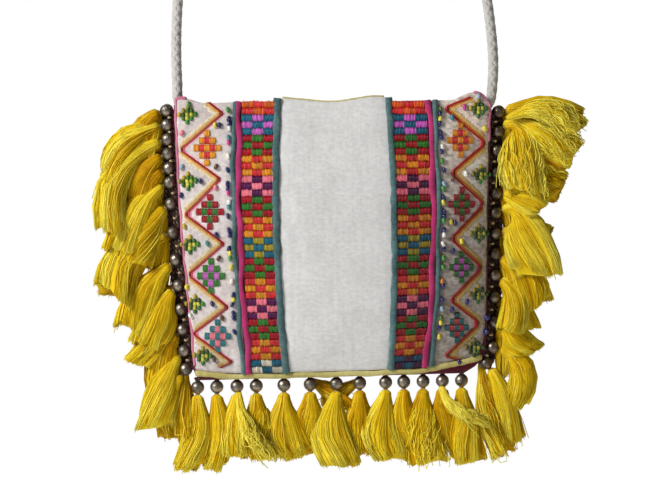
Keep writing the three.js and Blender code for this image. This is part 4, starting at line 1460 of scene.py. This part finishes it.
def add_tassel(work, bundle, curl, strands=STRANDS):
    """A bundle, the threads that lie on it, and for a curly one the threads that have come loose."""
    if curl >= FRAYED_FROM:
        strands = min(strands, FRAYED_STRANDS)
        add_frayed_threads(work, bundle, curl)
    turn = 2 * np.pi * np.arange(BUNDLE_SIDES) / BUNDLE_SIDES
    shares = BUNDLE_SHARES * bundle.ends(turn)[:, None]
    reach = BUNDLE_REACH + rng.normal(0, BUNDLE_UNEVENNESS, (BUNDLE_SIDES, 1))
    points, _ = bundle.places(turn, shares, reach)
    streaks = bundle.tint(turn, shares, rng.uniform(-BUNDLE_DARKENING, 0.0, (BUNDLE_SIDES, 1)))
    work.shells(np.swapaxes(points, 0, 1)[None], np.swapaxes(streaks, 0, 1)[None])

    turn = rng.uniform(0, 2 * np.pi, strands)
    is_stray = np.arange(strands) < STRAY_STRANDS
    ends = bundle.ends(turn) * rng.normal(1, STRAND_ENDS, strands)
    ends = np.where(is_stray, ends * rng.uniform(*STRAY_ENDS, strands), ends)
    shares = STRAND_SHARES * ends[:, None]
    points, out = bundle.places(turn, shares, rng.uniform(*STRAND_REACH, (strands, 1)))
    stray_flight = rng.uniform(0, STRAY_FLIGHT + STRAY_CURL_FLIGHT * curl, strands)
    plain_flight = rng.uniform(0, STRAND_FLIGHT, strands)
    flight = np.where(is_stray, stray_flight, plain_flight)[:, None] * shares ** 3
    plain_ripple = rng.uniform(*RIPPLE, (strands, 1))
    ripple = plain_ripple + curl * rng.uniform(*RIPPLE_CURL, (strands, 1)) * shares ** 2
    beat = 3 * bundle.beat[bundle.lock_at(turn)[0]] + rng.normal(0, RIPPLE_SCATTER, strands)
    ripple = ripple * np.clip(shares * 3 - 0.4, 0, 1)
    pace = rng.uniform(*RIPPLE_PACE, (strands, 1)) + RIPPLE_CURL_PACE * curl
    waves = np.sin(pace * shares + beat[:, None]) * ripple
    rise = np.abs(np.cos(pace * shares + beat[:, None])) * ripple
    points = points + out * (flight + 0.5 * rise)[..., None]
    side, _ = thread_frame(points, out)
    loop = np.sin(LOOP_PACE * shares + rng.uniform(0, 6, (strands, 1)))
    points = points + side * (waves + LOOP_SIZE * flight * loop)[..., None]
    side, deep = thread_frame(points, out)
    width = np.where(is_stray, STRAY_WIDTH, STRAND_WIDTH)[:, None, None]
    radius = width / 2 * rng.uniform(*STRAND_WIDTHS, (strands, 1, 1))
    change = np.where(is_stray, STRAY_TONE, rng.uniform(-STRAND_TONES, STRAND_TONES, strands))[:, None]
    work.tubes(points, side * radius, deep * radius, STRAND_SIDES, bundle.tint(turn, shares, change))


def add_frayed_threads(work, bundle, curl):
    """Loose threads that have come out of the cut end of a tassel and curl over it."""
    count = FRAYED_THREADS
    turn = np.pi + rng.uniform(*FRAYED_TURNS, count) * np.pi
    ends = rng.uniform(*FRAYED_ENDS, (count, 1))
    shares = np.linspace(FRAYED_START, 1, FRAYED_RINGS) * ends
    points, out = bundle.places(turn, shares, rng.uniform(*FRAYED_REACH, (count, 1)))
    freedom = np.clip((shares / ends - FRAYED_START) / FRAYED_EASE, 0, 1) ** 1.5
    radius = curl * rng.uniform(*FRAYED_RADIUS, (count, 1)) * freedom
    phase = rng.uniform(*FRAYED_PACE, (count, 1)) * shares + rng.uniform(0, 6, (count, 1))
    course = unit(np.gradient(points, axis=1))
    side = np.cross(out, course)
    drift = rng.uniform(-FRAYED_DRIFT, FRAYED_DRIFT, (count, 1)) * freedom
    points = points + side * (radius * np.cos(phase) + drift)[..., None]
    points = points + course * (FRAYED_SQUASH * radius * np.sin(phase))[..., None]
    points = points + out * (radius * (0.6 + 0.5 * np.sin(phase)))[..., None]
    wide, deep = thread_frame(points, out)
    tone = bundle.tint(turn, shares, rng.uniform(0.0, FRAYED_TONES, (count, 1)))
    work.tubes(points, wide * FRAYED_WIDTH / 2, deep * FRAYED_WIDTH / 2, STRAND_SIDES, tone)


# Dark twisted strings behind the beads of a side, by their place outwards and back from the bead; together
# they make a dark band that is partly real thread and partly painted shade behind the beads
STRING_PLACES = ((-3.6, 0.4), (-1.5, 2.4), (0.8, 4.2), (2.9, 3.4))
STRING_STEP = 1.0
STRING_WIDTH = 2.4
STRING_TURN_RADIUS = 0.8
STRING_TWIST = 7.0
STRING_SIDES = 5
STRING_VARIATION = 0.4
DARK_THREAD = (0.055, 0.022, 0.012)

# Dark ties above a bead of the bottom, by where they are sewn in across and back from the bead
TIE_PLACES = ((-1.7, -0.6), (1.7, -0.6), (-0.6, 0.9), (0.7, 0.8))
TIE_FOOT = 0.42
TIE_STITCH = 1.6
TIE_WIDTH = 1.5
TIE_RINGS = 7
TIE_SIDES = 6
TIE_EASE = 0.8

# Hanks of cotton tied behind every third bead of a side, by the start, middle and end of their route; they
# are painted deep gold as shade behind the tassels
HANK_STEP = 3
HANK_PLACES = ((6.0, 3.4, 0.0), (8.5, 4.5, -3.0), (13.0, 5.0, -9.0))
HANK_WIDTH = 12.0
HANK_CURL = 0.6
HANK_LINE_STEP = 1.0

# Brass seeds: on the link under each bead, and between the beads of a side, inwards and to the front
LINK_SEED_WIDTH = 2.4
LINK_SEED_PLACE = 4.4
STRING_SEED_INWARD = 1.6
STRING_SEED_FRONT = 2.6


def build_fringe(label, side, tassels):
    """The beads of one edge with their seeds, strings and tassels; side is where outwards points on X."""
    work = Threadwork()
    links, template = Threadwork(), seed_bead()
    centres = []
    for i, tassel in enumerate(tassels):
        name = f"{label}_{i + 1:02d}"
        leave = leave_direction(side, tassel[4])
        build_bead(f"bead_{name}", leave)
        centre = bead_centre(f"bead_{name}")
        centres.append(centre)
        aside = np.cross(BACK, leave)
        axes = np.stack((leave, aside, np.cross(leave, aside)))[None] * LINK_SEED_WIDTH
        links.copies(template, (centre + leave * LINK_SEED_PLACE)[None], axes, dye("brass")[None])
        bundle = Bundle(tassel_line(centre, side, tassel), tassel[3], tassel[2], *tassel[5:])
        add_tassel(work, bundle, CURLY_TASSELS.get(name, 0.0))
    centres = np.array(centres)
    if label == "bottom":
        build_bead_ties(centres)
    else:
        string_seeds(links, template, side, centres)
        build_bead_string_and_shade(label, side, centres)
        for first in range(0, len(centres) - 2, HANK_STEP):
            root, tip = centres[first], centres[min(first + HANK_STEP, len(centres) - 1)]
            route = np.array((root, (root + tip) / 2, tip)) + np.array(HANK_PLACES) * (side, 1, 1)
            # Each hank is painted deep gold as shade behind the tassels
            hank = Bundle(smooth_route(route, HANK_LINE_STEP), HANK_WIDTH, SHADED)
            add_tassel(work, hank, HANK_CURL, TUFT_STRANDS)
    for route, width, front, curl in TUFTS[label]:
        tuft = Bundle(smooth_route(np.array(route, float), TUFT_STEP), width, front, head=TUFT_ROOT)
        add_tassel(work, tuft, curl, TUFT_STRANDS)
    work.piece(f"tassels_{label}", "tassel", "tassel_cotton", f"fringe_{label}")
    links.piece(f"link_seeds_{label}", "glass", "seed_beads")


def string_seeds(work, template, side, centres):
    """Small brass seeds between the beads of a side, in front of their string."""
    between = (centres[:-1] + centres[1:]) / 2 - (side * STRING_SEED_INWARD, STRING_SEED_FRONT, 0)
    down = unit(centres[1:] - centres[:-1])
    aside = np.cross(BACK, down)
    axes = np.stack((down, aside, np.cross(down, aside)), axis=1) * LINK_SEED_WIDTH
    work.copies(template, between, axes, np.tile(dye("brass"), (len(between), 1)))


def build_bead_string_and_shade(label, side, centres):
    """Dark strings sewn along the pouch's edge and behind the beads, partly real thread and partly painted
    shade between the beads and the pouch.
    """
    work = Threadwork()
    for out, back in STRING_PLACES:
        line = smooth_route(centres + (side * out, back, 0), STRING_STEP)
        for start in (0, np.pi):
            twist_thread(work, line, start)
    work.piece(f"bead_string_{label}", "silk", "pouch_cloth")


def build_bead_ties(centres):
    """Dark threads that tie each bead of the bottom to the pouch's edge, spread where they are sewn in."""
    work = Threadwork()
    share = np.linspace(0, 1, TIE_RINGS)[:, None]
    for centre in centres:
        foot = centre + (0, 0, BEAD_DIAMETER * TIE_FOOT)
        edge = height_at(centre[0], 1) + TIE_STITCH
        for spread_x, spread_y in TIE_PLACES:
            root = np.array((centre[0] + spread_x, centre[1] + spread_y, edge))
            points = (foot + (root - foot) * share ** TIE_EASE)[None]
            wide, deep = thread_frame(points, np.broadcast_to(-BACK, points.shape))
            work.tubes(points, wide * TIE_WIDTH / 2, deep * TIE_WIDTH / 2, TIE_SIDES, np.array(DARK_THREAD))
    work.piece("bead_ties_bottom", "silk", "pouch_cloth")


def twist_thread(work, line, start):
    """One of the two dark threads that are twisted round each other along a line."""
    turn = np.arange(len(line)) * 2 * np.pi / STRING_TWIST + start
    out = np.stack((np.cos(turn), np.sin(turn), np.zeros(len(line))), axis=-1)
    points = (line + out * STRING_TURN_RADIUS)[None]
    wide, deep = thread_frame(points, out[None])
    tone = varied(np.tile(DARK_THREAD, (len(line), 1)), STRING_VARIATION)[None]
    work.tubes(points, wide * STRING_WIDTH / 2, deep * STRING_WIDTH / 2, STRING_SIDES, tone)


# The studio: a pale floor well below the purse, a soft window from the left front, a weak fill from the
# right and a light from behind, each by its place and size in metres and its power in watts
LIGHTS = {
    "window light": ((-1.45, -1.05, 0.6), 0.6, 39),
    "fill light": ((1.1, -1.4, -0.1), 1.2, 1.0),
    "back light": ((-0.5, 1.5, 0.6), 1.0, 14),
}
BACKDROP_STRENGTH = 1.0
ROOM_LIGHT = (1, 0.99, 0.97, 1)
ROOM_LIGHT_STRENGTH = 0.09
FLOOR_Z = -900.0
FLOOR_RADIUS = 3500.0
FLOOR_SIDES = 96


def add_light(name, place, size, power):
    """An area light that faces the purse."""
    light = bpy.data.lights.new(name, "AREA")
    light.size = size
    light.energy = power
    lamp = bpy.data.objects.new(name, light)
    bpy.context.scene.collection.objects.link(lamp)
    lamp.location = place
    away = np.array(place) - VIEW_TARGET * MM
    heading = math.atan2(away[0], -away[1])
    tilt = math.atan2(math.hypot(away[0], away[1]), away[2])
    lamp.rotation_euler = (tilt, 0, heading)


def add_studio():
    shape = bmesh.new()
    bmesh.ops.create_circle(shape, cap_ends=True, segments=FLOOR_SIDES, radius=FLOOR_RADIUS * MM)
    bmesh.ops.translate(shape, verts=shape.verts, vec=(0, 0, FLOOR_Z * MM))
    mesh = to_mesh(shape, "floor")
    floor = bpy.data.objects.new("floor", mesh)
    bpy.context.scene.collection.objects.link(floor)
    mesh.materials.append(floor_finish())
    for name, light in LIGHTS.items():
        add_light(name, *light)
    world = bpy.data.worlds.new("studio")
    world.use_nodes = True
    bpy.context.scene.world = world
    tree = world.node_tree
    seen = node(tree, "ShaderNodeBackground", {"Color": (1, 1, 1, 1), "Strength": BACKDROP_STRENGTH})
    lit = node(tree, "ShaderNodeBackground", {"Color": ROOM_LIGHT, "Strength": ROOM_LIGHT_STRENGTH})
    is_seen = node(tree, "ShaderNodeLightPath").outputs["Is Camera Ray"]
    both = node(tree, "ShaderNodeMixShader", {0: is_seen, 1: lit.outputs[0], 2: seen.outputs[0]})
    tree.links.new(both.outputs[0], tree.nodes["World Output"].inputs["Surface"])
    bpy.context.scene.view_settings.view_transform = "Standard"


add_camera()
build_strap()
build_pouch()
build_band("centre_panel", "centre_cotton", "white", "centre_cotton", CENTRE_GRID)
for hand in ("left", "right"):
    check, zigzag = f"check_band_{hand}", f"zigzag_band_{hand}"
    build_band(check, f"check_ground_{hand}", "ground", "check_embroidery", CHECK_GRID)
    build_checks(hand)
    build_band(zigzag, f"zigzag_ground_{hand}", f"band_{hand}", "zigzag_embroidery", ZIGZAG_GRID)
    build_zigzag(hand)
    build_seeds(hand)
    build_band_edge(hand)
for piping_name in PIPINGS:
    build_piping(piping_name)
build_hem()
build_mouth_edge()
build_fringe("left", -1, LEFT_TASSELS)
build_fringe("right", 1, RIGHT_TASSELS)
build_fringe("bottom", 1, BOTTOM_TASSELS)
add_studio()
